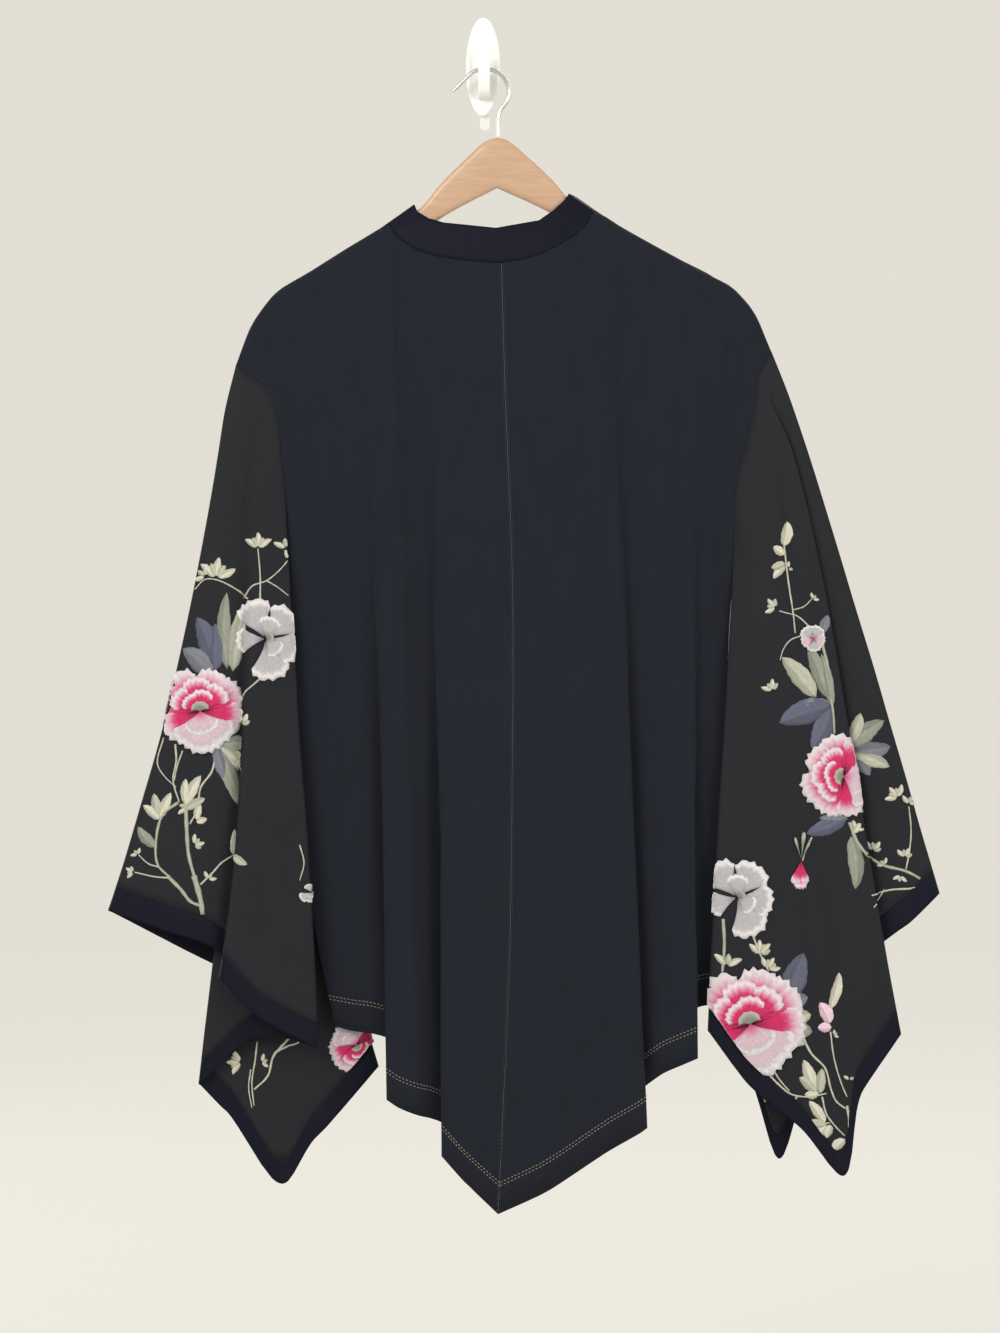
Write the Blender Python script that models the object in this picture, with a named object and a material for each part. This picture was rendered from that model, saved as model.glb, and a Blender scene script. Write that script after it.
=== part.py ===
"""Kimono coat on a wooden hanger that hangs from a wall hook, seen from its back.

Metres, +Z up. The wall is the plane y = 0 and the coat hangs on its -Y side. The origin is the
centre of the wall hook's back face. Tables are in millimetres from there: x to the viewer's right,
drop downwards and out towards the viewer.
"""
import math
from collections import namedtuple

import bmesh
import bpy
from mathutils import Vector

MM = 0.001

# Cloth
JERSEY_WALL = 1.2
SATIN_WALL = 1.1
BAND_WALL = 1.3
CUFF_BAND_WIDTH = 23.0
FRONT_BAND_WIDTH = 31.0
SEAM_GAP = 0.5
ARMHOLE_GAP = 1.1
NECK_GAP = 0.9
CUFF_GAP = 0.7

# How the cloth rolls over the hanger at the shoulder seam, and how fast the folds deepen below it
SHOULDER_OUT = 16.0
ROLL_DROP = 8.0
ROLL_ROWS = 3
BODY_ROWS = 13
BODY_ROW_CROWDING = 1.4
BODY_FOLD_GROWTH = 0.8
SLEEVE_ROWS = 12
SLEEVE_FOLD_GROWTH = 0.6

# Below the shoulder the sleeve stands out from the armhole before it falls
LEFT_LAUNCH = (8.0, 16.0)
RIGHT_LAUNCH = (2.0, 14.0)
LAUNCH_FULL_AT = 0.13
LAUNCH_SWELL = 3.5
ARMHOLE_SLOPE_REACH = 5.0

# Where the columns between two neighbouring fold lines lie: close to the lines, where cloth bends
COLUMN_SHARES = (0.0, 0.2, 0.8)

# A fold that turns back on itself gets a loop: the cosine where that starts, and where it is full
LOOP_STARTS = 0.3
LOOP_FULL = -0.3
FOLD_LOOP_HALF = 1.9
FOLD_LOOP_DEPTH = 1.3
BAND_ROWS = 2

# The front bands lean outwards at the shoulder, and hang straight below this length
BAND_TILT = math.radians(35)
BAND_LEAN_LENGTH = 90.0

# Hanger
HANGER_X = 13.0
HANGER_CREST = 68.0
HANGER_TILT = math.radians(1.8)
WOOD_SIDES = 12
WOOD_ROUNDNESS = 0.6
WIRE_RADIUS = 1.9
HOOK_CENTRE_X = 2.0
HOOK_CENTRE_DROP = 26.0
HOOK_BEND_RADIUS = 22.3
HOOK_BEND_FROM = math.radians(-10)
HOOK_BEND_TO = math.radians(135)
HOOK_BEND_STEPS = 16

# Wall hook
PLATE_WIDTH = 32.0
PLATE_HEIGHT = 93.0
PLATE_THICKNESS = 4.5
PLATE_SIDES = 32
PLATE_RIM = 1.5
PEG_X = 1.0
PEG_WIDTH = 11.0

Edge = namedtuple("Edge", "drop x back_out front_out")
Fold = namedtuple("Fold", "name top_x top_drop top_out lie hem_x hem_drop hem_out bow")
Cuff = namedtuple("Cuff", "name around x drop out bow")
Section = namedtuple("Section", "reach top bottom thick")

# Armhole seam from the shoulder tip to the underarm, and the side seam below it
LEFT_EDGE = [
    Edge(279, -230, 17.0, 15.0),
    Edge(291, -217, 20.5, 12.0),
    Edge(300, -203, 22.5, 10.5),
    Edge(314, -193, 23.5, 9.5),
    Edge(342, -190, 24.0, 9.0),
    Edge(389, -185, 24.0, 9.5),
    Edge(445, -182, 23.0, 13.0),
    Edge(500, -179, 21.7, 18.9),
    Edge(547, -178, 21.4, 19.2),
    Edge(640, -173, 21.4, 19.2),
    Edge(724, -170, 21.4, 19.2),
    Edge(789, -161, 21.4, 19.2),
    Edge(835, -152, 21.4, 19.2),
    Edge(897, -138, 21.4, 19.2),
]
RIGHT_EDGE = [
    Edge(268, 269, 17.0, 15.0),
    Edge(286, 258, 20.5, 11.5),
    Edge(319, 253, 23.0, 9.5),
    Edge(361, 244, 24.0, 9.0),
    Edge(389, 236, 24.0, 9.5),
    Edge(435, 234, 23.3, 12.5),
    Edge(496, 232, 21.7, 18.9),
    Edge(547, 228.0, 21.4, 19.2),
    Edge(686, 224, 21.4, 19.2),
    Edge(826, 222, 21.4, 19.2),
    Edge(877, 219.5, 21.4, 19.2),
]
LEFT_UNDERARM = 500.0
RIGHT_UNDERARM = 496.0

# Centre back seam: drop and x
CENTRE_SEAM = [(186, 17), (319, 21), (458, 27), (528, 28), (686, 27), (826, 25), (942, 20), (1068, 14)]

# Fold lines of the back, from the side seam to the centre seam
BACK_LEFT = [
    Fold("side", -230, 279, 17.0, 20.0, -138, 897, 21.4, 1.0),
    Fold("tip", -215, 242, 16.8, 22.0, -122, 901, 25, 0.40),
    Fold("panel", -193, 213, 16.5, 24.5, -104, 903, 29, 0.50),
    Fold("soft", -161, 193, 16.5, 24.5, -92, 906, 30, 0.70),
    Fold("valley", -126, 171, 16.5, 24.5, -71, 916, 28, 1.0),
    Fold("ridge", -111, 162, 16.5, 24.5, -89, 963, 43, 0.50),
    Fold("corner", -96, 153, 16.8, 24.5, -76, 971, 47, 0.80),
    Fold("neck_turn", -89, 150, 21.0, 24.5, -61, 977, 46, 0.80),
    Fold("neck_back", -82, 160, 24.5, 24.5, -46, 982, 36, 0.90),
    Fold("neck_valley", -62, 174, 24.5, 24.5, -24, 994, 28, 1.0),
    Fold("neck_ridge", -42, 180, 24.5, 24.5, -38, 1015, 46, 1.0),
    Fold("neck_soft", -16, 184, 24.5, 24.5, -12, 1043, 50, 1.0),
    Fold("centre", 17, 186, 24.5, 24.5, 14, 1068, 51, 1.0),
]
BACK_RIGHT = [
    Fold("centre", 17, 186, 24.5, 24.5, 14, 1068, 51, 1.0),
    Fold("neck_soft", 44, 181, 24.5, 24.5, 58, 1048, 49, 1.0),
    Fold("neck_hollow", 64, 173, 24.5, 24.5, 90, 1028, 45, 1.0),
    Fold("neck_back", 83, 162, 24.5, 24.5, 115, 1011, 48, 1.0),
    Fold("neck_turn", 97, 149, 24.5, 24.5, 132, 1001, 49, 0.90),
    Fold("neck_corner", 103, 139, 21.0, 24.5, 143, 995, 47, 0.90),
    Fold("ridge", 112, 141, 16.8, 24.5, 152, 989, 43, 0.90),
    Fold("valley", 128, 151, 16.5, 24.5, 140, 961, 27.5, 1.0),
    Fold("soft", 160, 169, 16.5, 24.5, 172, 937, 38, 1.0),
    Fold("side_ridge", 193, 187, 16.5, 24.5, 199, 925, 40, 1.0),
    Fold("side_valley", 212, 197, 16.5, 24.5, 187, 898, 28, 1.0),
    Fold("side_panel", 232, 208, 16.5, 24.5, 197, 881, 24, 0.50),
    Fold("tip", 251, 229, 16.8, 22.0, 205, 878, 23, 0.30),
    Fold("side", 269, 268, 17.0, 20.0, 218, 877, 21.4, 1.0),
]

# Fold lines of the fronts, from the side seam to the front edge
FRONT_LEFT = [
    Fold("side", -230, 279, 15.0, 12.0, -138, 890, 19.2, 1.0),
    Fold("tip", -215, 242, 15.2, 9.5, -123, 888, 17, 0.40),
    Fold("panel", -193, 213, 15.5, 8.2, -108, 887, 15, 0.50),
    Fold("soft", -161, 193, 15.5, 8.2, -92, 886, 18, 0.70),
    Fold("valley", -126, 171, 15.5, 8.2, -72, 886, 15, 1.0),
    Fold("edge", -96, 153, 15.2, 8.2, -53, 886, 16, 1.0),
]
FRONT_RIGHT = [
    Fold("edge", 112, 141, 15.2, 8.2, 78, 870, 16, 1.0),
    Fold("valley", 140, 158, 15.5, 8.2, 105, 869, 14, 1.0),
    Fold("soft", 176, 178, 15.5, 8.2, 138, 868, 18, 1.0),
    Fold("panel", 216, 199, 15.5, 8.2, 176, 867, 15, 0.60),
    Fold("tip", 251, 229, 15.2, 9.5, 205, 867, 17, 0.30),
    Fold("side", 269, 268, 15.0, 12.0, 218, 868, 19.2, 1.0),
]

# Sleeve openings. Around is 0 at the shoulder tip, 1 at the underarm after the back of the armhole,
# and 2 at the tip again after its front.
LEFT_CUFF = [
    Cuff("over_arm", 0.00, -349, 789, 25, 1.45),
    Cuff("outer", 0.05, -296, 807, 37, 1.30),
    Cuff("outer_end", 0.09, -258, 819, 39, 1.20),
    Cuff("first_valley", 0.14, -232, 838, 33, 1.20),
    Cuff("first_ridge", 0.22, -244, 849, 46, 1.60),
    Cuff("near_panel", 0.35, -203, 889, 51, 1.20),
    Cuff("body_fold", 0.54, -153, 915, 43, 0.50),
    Cuff("second_layer", 0.73, -206, 906, 26, 0.80),
    Cuff("left_fold", 0.87, -265, 951, 21, 0.65),
    Cuff("third_layer", 0.96, -238, 979, 15, 0.65),
    Cuff("underarm_tip", 1.00, -188, 1045, 14, 0.90),
    Cuff("rise", 1.10, -159, 1005, 13, 1.30),
    Cuff("far_fold", 1.33, -98, 936, 8.5, 1.80),
    Cuff("far_layer", 1.65, -170, 882, 3.6, 1.20),
    Cuff("far_outer", 1.91, -263, 835, 8, 1.20),
]
RIGHT_CUFF = [
    Cuff("over_arm", 0.00, 425, 773, 24, 0.95),
    Cuff("outer", 0.03, 395, 801, 34, 0.95),
    Cuff("first_valley", 0.07, 350, 836, 28, 1.00),
    Cuff("first_ridge", 0.13, 387, 902, 44, 0.88),
    Cuff("near_panel", 0.25, 350, 957, 49, 0.95),
    Cuff("front_tip", 0.40, 334, 1033, 47, 1.00),
    Cuff("near_hollow", 0.52, 295, 990, 45, 1.00),
    Cuff("near_rise", 0.66, 253, 956, 42, 1.10),
    Cuff("body_fold", 0.82, 209, 900, 35, 0.74),
    Cuff("under_fold", 0.93, 229, 890, 27, 1.50),
    Cuff("underarm", 1.02, 232, 895, 16, 1.30),
    Cuff("spike_rise", 1.15, 255, 961, 13, 1.10),
    Cuff("spike", 1.35, 277, 1022, 11, 1.00),
    Cuff("far_layer", 1.60, 300, 960, 8.5, 1.00),
    Cuff("far_inner", 1.78, 345, 854, 5.5, 1.00),
    Cuff("far_outer", 1.93, 392, 800, 9, 0.95),
]

# Free edge of the neckband where its seam has this x: x, drop
NECK_FREE_EDGE = [
    (-96, -69, 134), (-89, -64, 131), (-82, -61, 138), (-62, -51, 144), (-42, -37, 148),
    (17, 12, 153), (64, 52, 146), (83, 65, 137), (97, 75, 128), (103, 80, 121), (112, 84, 122),
]

# Half of the wooden hanger, measured along it from the hook: top edge, bottom edge, thickness
HANGER_SECTIONS = [
    Section(0, 0.0, 47, 12),
    Section(10, 2.5, 52, 12),
    Section(25, 15.0, 59, 12),
    Section(53, 42.0, 74, 12),
    Section(71, 63.0, 88, 12),
    Section(109, 86.0, 115, 12),
    Section(160, 117.0, 140, 12),
    Section(196, 141.0, 160, 11),
    Section(205, 148.0, 162, 8),
    Section(208, 152.0, 159, 4),
]

# The wire below and beyond its round bend: x from the hanger's middle and drop, then x and drop
STEM = [(1.0, 67.2), (1.0, 56), (1.0, 48), (4.2, 41), (8.6, 35)]
WIRE_TIP = (-28, 24.6)

# Side view of the peg: out from the wall, drop
PEG_PROFILE = [
    (3.0, 31), (11.0, 29.5), (17.5, 24), (21.2, 15), (22.4, 4), (22.6, -10), (21.8, -15.2),
    (20.4, -15.2), (19.0, -9), (18.4, 3), (17.4, 7.2), (3.0, 7.2),
]


def place(x, drop, out):
    """Millimetres right, down and out from the wall, as a point in metres."""
    return Vector((x, -out, -drop)) * MM


def mix(a, b, share):
    return a + (b - a) * share


def look_up(table, key, column):
    """Straight-line value of one column at a key, where column 0 holds the keys."""
    for low, high in zip(table, table[1:]):
        if key <= high[0]:
            share = max(0.0, (key - low[0]) / (high[0] - low[0]))
            return mix(low[column], high[column], share)
    return table[-1][column]


def smooth_run(points, closed=False):
    """A curve through the points, with the columns between neighbours at their shares."""
    count = len(points)
    spans = count if closed else count - 1
    lengths = [max((points[(i + 1) % count] - points[i]).length, 1e-9) ** 0.5 for i in range(spans)]

    def slope(i):
        if not closed and i in (0, count - 1):
            a = 0 if i == 0 else count - 2
            return (points[a + 1] - points[a]) / lengths[a]
        before = lengths[(i - 1) % spans]
        after = lengths[i % spans]
        rise = (points[(i + 1) % count] - points[i]) / after
        fall = (points[i] - points[(i - 1) % count]) / before
        return (rise * before + fall * after) / (before + after)

    run = []
    for i in range(spans):
        start, end = points[i], points[(i + 1) % count]
        lead_out = slope(i) * lengths[i]
        lead_in = slope((i + 1) % count) * lengths[i]
        for s in COLUMN_SHARES:
            run.append(start * (2 * s**3 - 3 * s**2 + 1) + lead_out * (s**3 - 2 * s**2 + s)
                       + end * (3 * s**2 - 2 * s**3) + lead_in * (s**3 - s**2))
    run.append(points[0].copy() if closed else points[-1].copy())
    for i in range(count):
        if closed or 0 < i < count - 1:
            open_fold(run, i * len(COLUMN_SHARES), points[i - 1], points[i], points[(i + 1) % count])
    return run


def open_fold(run, index, before, fold, after):
    """Give a fold that turns back on itself a small round loop, by moving the columns beside it."""
    way_in = Vector((fold.x - before.x, fold.y - before.y))
    way_out = Vector((after.x - fold.x, after.y - fold.y))
    doubling = way_in.normalized().dot(way_out.normalized())
    share = min(1.0, max(0.0, (LOOP_STARTS - doubling) / (LOOP_STARTS - LOOP_FULL)))
    if share == 0:
        return
    aside = Vector((0, math.copysign(FOLD_LOOP_HALF * MM, after.y - before.y), 0))
    depth = FOLD_LOOP_DEPTH * MM
    behind = fold.lerp(before, depth / way_in.length) - aside
    ahead = fold.lerp(after, depth / way_out.length) + aside
    last = index - 1 if index else len(run) - 2
    run[last] = run[last].lerp(behind, share)
    run[index + 1] = run[index + 1].lerp(ahead, share)


def body_rows():
    """Share of the shoulder roll and share of the hang below it, from the top row to the hem."""
    rolls = [(i / ROLL_ROWS, 0.0) for i in range(ROLL_ROWS)]
    return rolls + [(1.0, (i / BODY_ROWS) ** BODY_ROW_CROWDING) for i in range(BODY_ROWS + 1)]


def fold_point(fold, roll, hang, edge_out, edge_table):
    """A point of a fold line, first over the hanger and then down to the hem."""
    turn = roll * math.pi / 2
    roll_drop = fold.top_drop + ROLL_DROP * (1 - math.cos(turn))
    drop = mix(roll_drop, fold.hem_drop, hang)
    if fold.name == "side":
        return place(look_up(edge_table, drop, 1), drop, look_up(edge_table, drop, edge_out))
    x = mix(fold.top_x, fold.hem_x, hang ** fold.bow)
    if fold.name == "centre":
        x = look_up(CENTRE_SEAM, drop, 1)
    lie = mix(fold.top_out, fold.lie, math.sin(turn))
    return place(x, drop, mix(lie, fold.hem_out, hang ** BODY_FOLD_GROWTH))


def panel_grid(folds, edge_table, edge_out):
    """Rows of points of a body panel."""
    return [
        smooth_run([fold_point(fold, roll, hang, edge_out, edge_table) for fold in folds])
        for roll, hang in body_rows()
    ]


def edge_run(panel, column):
    """Drop, x and out of a panel's edge, row by row."""
    return [(-line[column].z / MM, line[column].x / MM, -line[column].y / MM) for line in panel]


def armhole_point(back_edge, front_edge, underarm, around, side):
    """A point of the armhole seam, just off the body's edge."""
    share = around if around <= 1 else 2 - around
    edge = back_edge if around <= 1 else front_edge
    drop = mix(edge[0][0], underarm, share)
    x = look_up(edge, drop, 1)
    out = look_up(edge, drop, 2)
    if share in (0, 1):
        out = (look_up(back_edge, drop, 2) + look_up(front_edge, drop, 2)) / 2
    reach = ARMHOLE_SLOPE_REACH
    slope = (look_up(edge, drop + reach, 1) - look_up(edge, drop - reach, 1)) / (2 * reach)
    long = math.hypot(1.0, slope)
    return place(x + side * ARMHOLE_GAP / long, drop - side * ARMHOLE_GAP * slope / long, out)


def sleeve_columns(cuffs, back_edge, front_edge, underarm, side, launches):
    """For each column round a sleeve: its start at the armhole, end at the opening, and bow."""
    ends = smooth_run([place(cuff.x, cuff.drop, cuff.out) for cuff in cuffs], closed=True)
    columns = []
    for i, cuff in enumerate(cuffs):
        following = cuffs[(i + 1) % len(cuffs)]
        last_around = following.around if following.around > cuff.around else 2.0
        for share in COLUMN_SHARES:
            around = mix(cuff.around, last_around, share)
            start = armhole_point(back_edge, front_edge, underarm, around, side)
            down = around if around <= 1 else 2 - around
            if down < LAUNCH_FULL_AT:
                launch = mix(launches[0], launches[1], down / LAUNCH_FULL_AT)
            else:
                launch = launches[1] * (1 - down) / (1 - LAUNCH_FULL_AT)
            launch = side * launch * MM
            columns.append((start, ends[len(columns)], mix(cuff.bow, following.bow, share), launch))
    columns.append(columns[0])
    return columns


def gap_along(columns, index):
    """How far apart two rims are along a column so that they stand CUFF_GAP apart."""
    least_slant = 0.35
    rim = columns[(index + 1) % (len(columns) - 1)][1] - columns[index - 1 if index else -2][1]
    fall = columns[index][1] - sleeve_point(columns[index], 0.9)
    return CUFF_GAP / max(least_slant, math.sin(rim.angle(fall)))


def sleeve_point(column, hang):
    start, end, bow, launch = column
    stand_out = LAUNCH_SWELL * math.sqrt(hang) * (1 - hang) ** 2
    return Vector((
        mix(start.x, end.x, hang ** bow) + launch * stand_out,
        mix(start.y, end.y, hang ** SLEEVE_FOLD_GROWTH),
        mix(start.z, end.z, hang),
    ))


def sleeve_grid(columns, first, last, rows):
    """Rows of points of a sleeve between two distances from its opening, in millimetres.

    A first distance of None starts at the armhole and leaves the gap before the cuff band.
    """
    grid = []
    for row in range(rows + 1):
        line = []
        for index, column in enumerate(columns):
            length = (column[1] - column[0]).length / MM
            if first is None:
                top, bottom = 0.0, 1 - (last + gap_along(columns, index)) / length
            else:
                top, bottom = 1 - first / length, 1 - last / length
            line.append(sleeve_point(column, mix(top, bottom, row / rows)))
        grid.append(line)
    return grid


def material(name, colour, roughness, metallic=0.0):
    new = bpy.data.materials.get(name)
    if new is None:
        new = bpy.data.materials.new(name)
        new.use_nodes = True
        shader = new.node_tree.nodes["Principled BSDF"]
        shader.inputs["Base Color"].default_value = (*colour, 1.0)
        shader.inputs["Roughness"].default_value = roughness
        shader.inputs["Metallic"].default_value = metallic
    return new


def jersey():
    return material("jersey", (0.018, 0.019, 0.032), 0.8)


def satin():
    return material("sleeve_satin", (0.034, 0.036, 0.046), 0.45)


def band_satin():
    return material("band_satin", (0.022, 0.023, 0.034), 0.4)


def add_object(name, mesh, finish):
    mesh.shade_smooth()
    mesh.set_sharp_from_angle(angle=math.radians(40))
    mesh.materials.append(finish)
    piece = bpy.data.objects.new(name, mesh)
    bpy.context.scene.collection.objects.link(piece)
    return piece


def cloth(name, grid, wall, finish, closed=False):
    """A wall of cloth with its middle on a grid of points."""
    rows, columns = len(grid), len(grid[0])
    shape = bmesh.new()
    bmesh.ops.create_grid(shape, x_segments=columns - 1, y_segments=rows - 1, size=1.0)
    shape.verts.ensure_lookup_table()
    for row, line in enumerate(grid):
        for column, point in enumerate(line):
            shape.verts[row * columns + column].co = point
    if closed:
        bmesh.ops.remove_doubles(shape, verts=shape.verts, dist=0.1 * MM)
    mesh = bpy.data.meshes.new(name)
    shape.to_mesh(mesh)
    shape.free()
    piece = add_object(name, mesh, finish)
    thicken = piece.modifiers.new("wall", "SOLIDIFY")
    thicken.thickness = wall * MM
    thicken.offset = 0.0
    return piece


def neckband_grid(left, right):
    """The band rises from the back's neck seam, whose points it takes."""
    left_corner = [fold.name for fold in BACK_LEFT].index("corner") * len(COLUMN_SHARES)
    right_corner = [fold.name for fold in BACK_RIGHT].index("ridge") * len(COLUMN_SHARES)
    seam = left[0][left_corner:] + right[0][1:right_corner + 1]
    grid = []
    for row in range(BAND_ROWS + 2):
        line = []
        for point in seam:
            x = point.x / MM
            free = place(look_up(NECK_FREE_EDGE, x, 1), look_up(NECK_FREE_EDGE, x, 2), -point.y / MM)
            start = NECK_GAP * MM / (free - point).length
            line.append(point.lerp(free, mix(start, 1.0, row / (BAND_ROWS + 1))))
        grid.append(line)
    return grid


def front_band_grid(panel, edge_column, side):
    """The band down a front edge, whose points it takes."""
    lean_ends = panel[0][edge_column].z - BAND_LEAN_LENGTH * MM
    grid = []
    for line in panel:
        seam = line[edge_column]
        share = min(1.0, max(0.0, (seam.z - lean_ends) / (BAND_LEAN_LENGTH * MM)))
        lean = BAND_TILT * share
        across = Vector((-side * math.cos(lean), 0, math.sin(lean)))
        grid.append([
            seam + across * MM * mix(NECK_GAP, FRONT_BAND_WIDTH, step / BAND_ROWS)
            for step in range(BAND_ROWS + 1)
        ])
    return grid


def hanger_section(station, side):
    """An oval ring of the wooden hanger."""
    mid = (station.top + station.bottom) / 2
    half = (station.bottom - station.top) / 2
    ring = []
    for step in range(WOOD_SIDES):
        turn = step / WOOD_SIDES * math.tau
        across = math.copysign(abs(math.cos(turn)) ** WOOD_ROUNDNESS, math.cos(turn)) * station.thick / 2
        down = math.copysign(abs(math.sin(turn)) ** WOOD_ROUNDNESS, math.sin(turn)) * half
        x = side * station.reach
        drop = mid + down
        level = HANGER_CREST + drop - x * math.sin(HANGER_TILT)
        ring.append(place(HANGER_X + x * math.cos(HANGER_TILT), level, SHOULDER_OUT + across))
    return ring


def hanger_wood():
    stations = [hanger_section(s, -1) for s in reversed(HANGER_SECTIONS[1:])]
    stations += [hanger_section(s, 1) for s in HANGER_SECTIONS]
    shape = bmesh.new()
    rings = []
    for ring in stations:
        verts = [shape.verts.new(point) for point in ring]
        rings.append([
            shape.edges.new((verts[i], verts[(i + 1) % WOOD_SIDES])) for i in range(WOOD_SIDES)
        ])
    for first, second in zip(rings, rings[1:]):
        bmesh.ops.bridge_loops(shape, edges=first + second)
    bmesh.ops.holes_fill(shape, edges=rings[0] + rings[-1], sides=WOOD_SIDES)
    bmesh.ops.recalc_face_normals(shape, faces=shape.faces)
    mesh = bpy.data.meshes.new("hanger_wood")
    shape.to_mesh(mesh)
    shape.free()
    return add_object("hanger_wood", mesh, material("wood", (0.73, 0.50, 0.27), 0.45))


def hook_route():
    """The wire's centre line: up out of the wood, round the peg and down to its tip."""
    route = [place(HANGER_X + x, drop, SHOULDER_OUT) for x, drop in STEM]
    for step in range(HOOK_BEND_STEPS + 1):
        turn = mix(HOOK_BEND_FROM, HOOK_BEND_TO, step / HOOK_BEND_STEPS)
        route.append(place(HOOK_CENTRE_X + HOOK_BEND_RADIUS * math.cos(turn),
                           HOOK_CENTRE_DROP - HOOK_BEND_RADIUS * math.sin(turn), SHOULDER_OUT))
    tip = place(*WIRE_TIP, SHOULDER_OUT)
    route += [route[-1].lerp(tip, 0.5), tip]
    return route


def hanger_hook():
    route = hook_route()
    curve = bpy.data.curves.new("hanger_hook", "CURVE")
    curve.dimensions = "3D"
    curve.bevel_depth = WIRE_RADIUS * MM
    curve.bevel_resolution = 3
    curve.use_fill_caps = True
    spline = curve.splines.new("POLY")
    spline.points.add(len(route) - 1)
    for target, point in zip(spline.points, route):
        target.co = (*point, 1.0)
    curve.materials.append(material("steel", (0.62, 0.60, 0.57), 0.25, 1.0))
    piece = bpy.data.objects.new("hanger_hook", curve)
    bpy.context.scene.collection.objects.link(piece)
    return piece


def extruded(name, outline, along, finish):
    """A closed outline of points, pulled along a vector."""
    shape = bmesh.new()
    face = shape.faces.new([shape.verts.new(point) for point in outline])
    pulled = bmesh.ops.extrude_face_region(shape, geom=[face])
    verts = [item for item in pulled["geom"] if isinstance(item, bmesh.types.BMVert)]
    bmesh.ops.translate(shape, verts=verts, vec=along)
    bmesh.ops.recalc_face_normals(shape, faces=shape.faces)
    mesh = bpy.data.meshes.new(name)
    shape.to_mesh(mesh)
    shape.free()
    return add_object(name, mesh, finish)


def wall_hook():
    plastic = material("plastic", (0.80, 0.81, 0.80), 0.35)
    oval = [
        place(PLATE_WIDTH / 2 * math.cos(step / PLATE_SIDES * math.tau),
              PLATE_HEIGHT / 2 * math.sin(step / PLATE_SIDES * math.tau), 0)
        for step in range(PLATE_SIDES)
    ]
    plate = extruded("wall_hook", oval, place(0, 0, PLATE_THICKNESS), plastic)
    round_rim = plate.modifiers.new("rim", "BEVEL")
    round_rim.width = PLATE_RIM * MM
    round_rim.segments = 2
    round_rim.limit_method = "ANGLE"
    round_rim.angle_limit = math.radians(60)
    side_view = [place(PEG_X - PEG_WIDTH / 2, drop, out) for out, drop in PEG_PROFILE]
    peg = extruded("peg", side_view, place(PEG_WIDTH, 0, 0), plastic)
    peg.display_type = "WIRE"
    peg.hide_render = True
    join = plate.modifiers.new("peg", "BOOLEAN")
    join.operation = "UNION"
    join.object = peg
    return plate


def main():
    for old in list(bpy.data.objects):
        bpy.data.objects.remove(old)

    back_left = panel_grid(BACK_LEFT, LEFT_EDGE, 2)
    back_right = panel_grid(BACK_RIGHT, RIGHT_EDGE, 2)
    front_left = panel_grid(FRONT_LEFT, LEFT_EDGE, 3)
    front_right = panel_grid(FRONT_RIGHT, RIGHT_EDGE, 3)
    half_gap = Vector((SEAM_GAP / 2 * MM, 0, 0))
    for line in back_left:
        line[-1] = line[-1] - half_gap
    for line in back_right:
        line[0] = line[0] + half_gap
    cloth("back_left", back_left, JERSEY_WALL, jersey())
    cloth("back_right", back_right, JERSEY_WALL, jersey())
    cloth("front_left", front_left, JERSEY_WALL, jersey())
    cloth("front_right", front_right, JERSEY_WALL, jersey())

    cloth("neckband", neckband_grid(back_left, back_right), BAND_WALL, band_satin())
    cloth("front_band_left", front_band_grid(front_left, -1, -1), BAND_WALL, band_satin())
    cloth("front_band_right", front_band_grid(front_right, 0, 1), BAND_WALL, band_satin())

    for side, sign, cuffs, back, front, column, underarm, launches in (
        ("left", -1, LEFT_CUFF, back_left, front_left, 0, LEFT_UNDERARM, LEFT_LAUNCH),
        ("right", 1, RIGHT_CUFF, back_right, front_right, -1, RIGHT_UNDERARM, RIGHT_LAUNCH),
    ):
        edges = edge_run(back, column), edge_run(front, column)
        columns = sleeve_columns(cuffs, *edges, underarm, sign, launches)
        sleeve = sleeve_grid(columns, None, CUFF_BAND_WIDTH, SLEEVE_ROWS)
        cloth("sleeve_" + side, sleeve, SATIN_WALL, satin(), closed=True)
        band = sleeve_grid(columns, CUFF_BAND_WIDTH, 0, BAND_ROWS)
        cloth("cuff_band_" + side, band, BAND_WALL, band_satin(), closed=True)

    hanger_wood()
    hanger_hook()
    wall_hook()


main()
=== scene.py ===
"""Looks of a kimono coat on a wooden hanger, which hangs from a wall hook with its back to the viewer.

The tables repeat the sizes of the solids, in millimetres: x to the viewer's right, drop downwards from
the middle of the wall hook, and out from the wall towards the viewer.
"""

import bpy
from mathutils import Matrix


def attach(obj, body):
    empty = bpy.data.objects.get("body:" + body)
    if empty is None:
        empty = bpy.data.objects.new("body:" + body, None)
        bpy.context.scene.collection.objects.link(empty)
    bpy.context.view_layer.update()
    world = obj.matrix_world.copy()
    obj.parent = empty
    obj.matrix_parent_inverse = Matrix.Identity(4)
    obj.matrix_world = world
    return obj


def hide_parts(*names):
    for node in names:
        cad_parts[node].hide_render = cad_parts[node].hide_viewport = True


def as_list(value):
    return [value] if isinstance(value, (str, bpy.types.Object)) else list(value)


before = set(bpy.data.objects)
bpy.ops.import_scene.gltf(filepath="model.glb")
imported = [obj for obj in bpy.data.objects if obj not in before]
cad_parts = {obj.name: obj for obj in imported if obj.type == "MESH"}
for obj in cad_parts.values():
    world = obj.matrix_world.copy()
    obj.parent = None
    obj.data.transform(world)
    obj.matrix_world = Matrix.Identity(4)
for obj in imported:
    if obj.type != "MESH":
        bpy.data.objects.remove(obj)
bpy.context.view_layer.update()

import math
from collections import namedtuple
from functools import lru_cache

import bmesh
import bpy
from bpy.props import FloatProperty, FloatVectorProperty, PointerProperty
from mathutils import Matrix, Vector, noise
from mathutils.bvhtree import BVHTree

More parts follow.
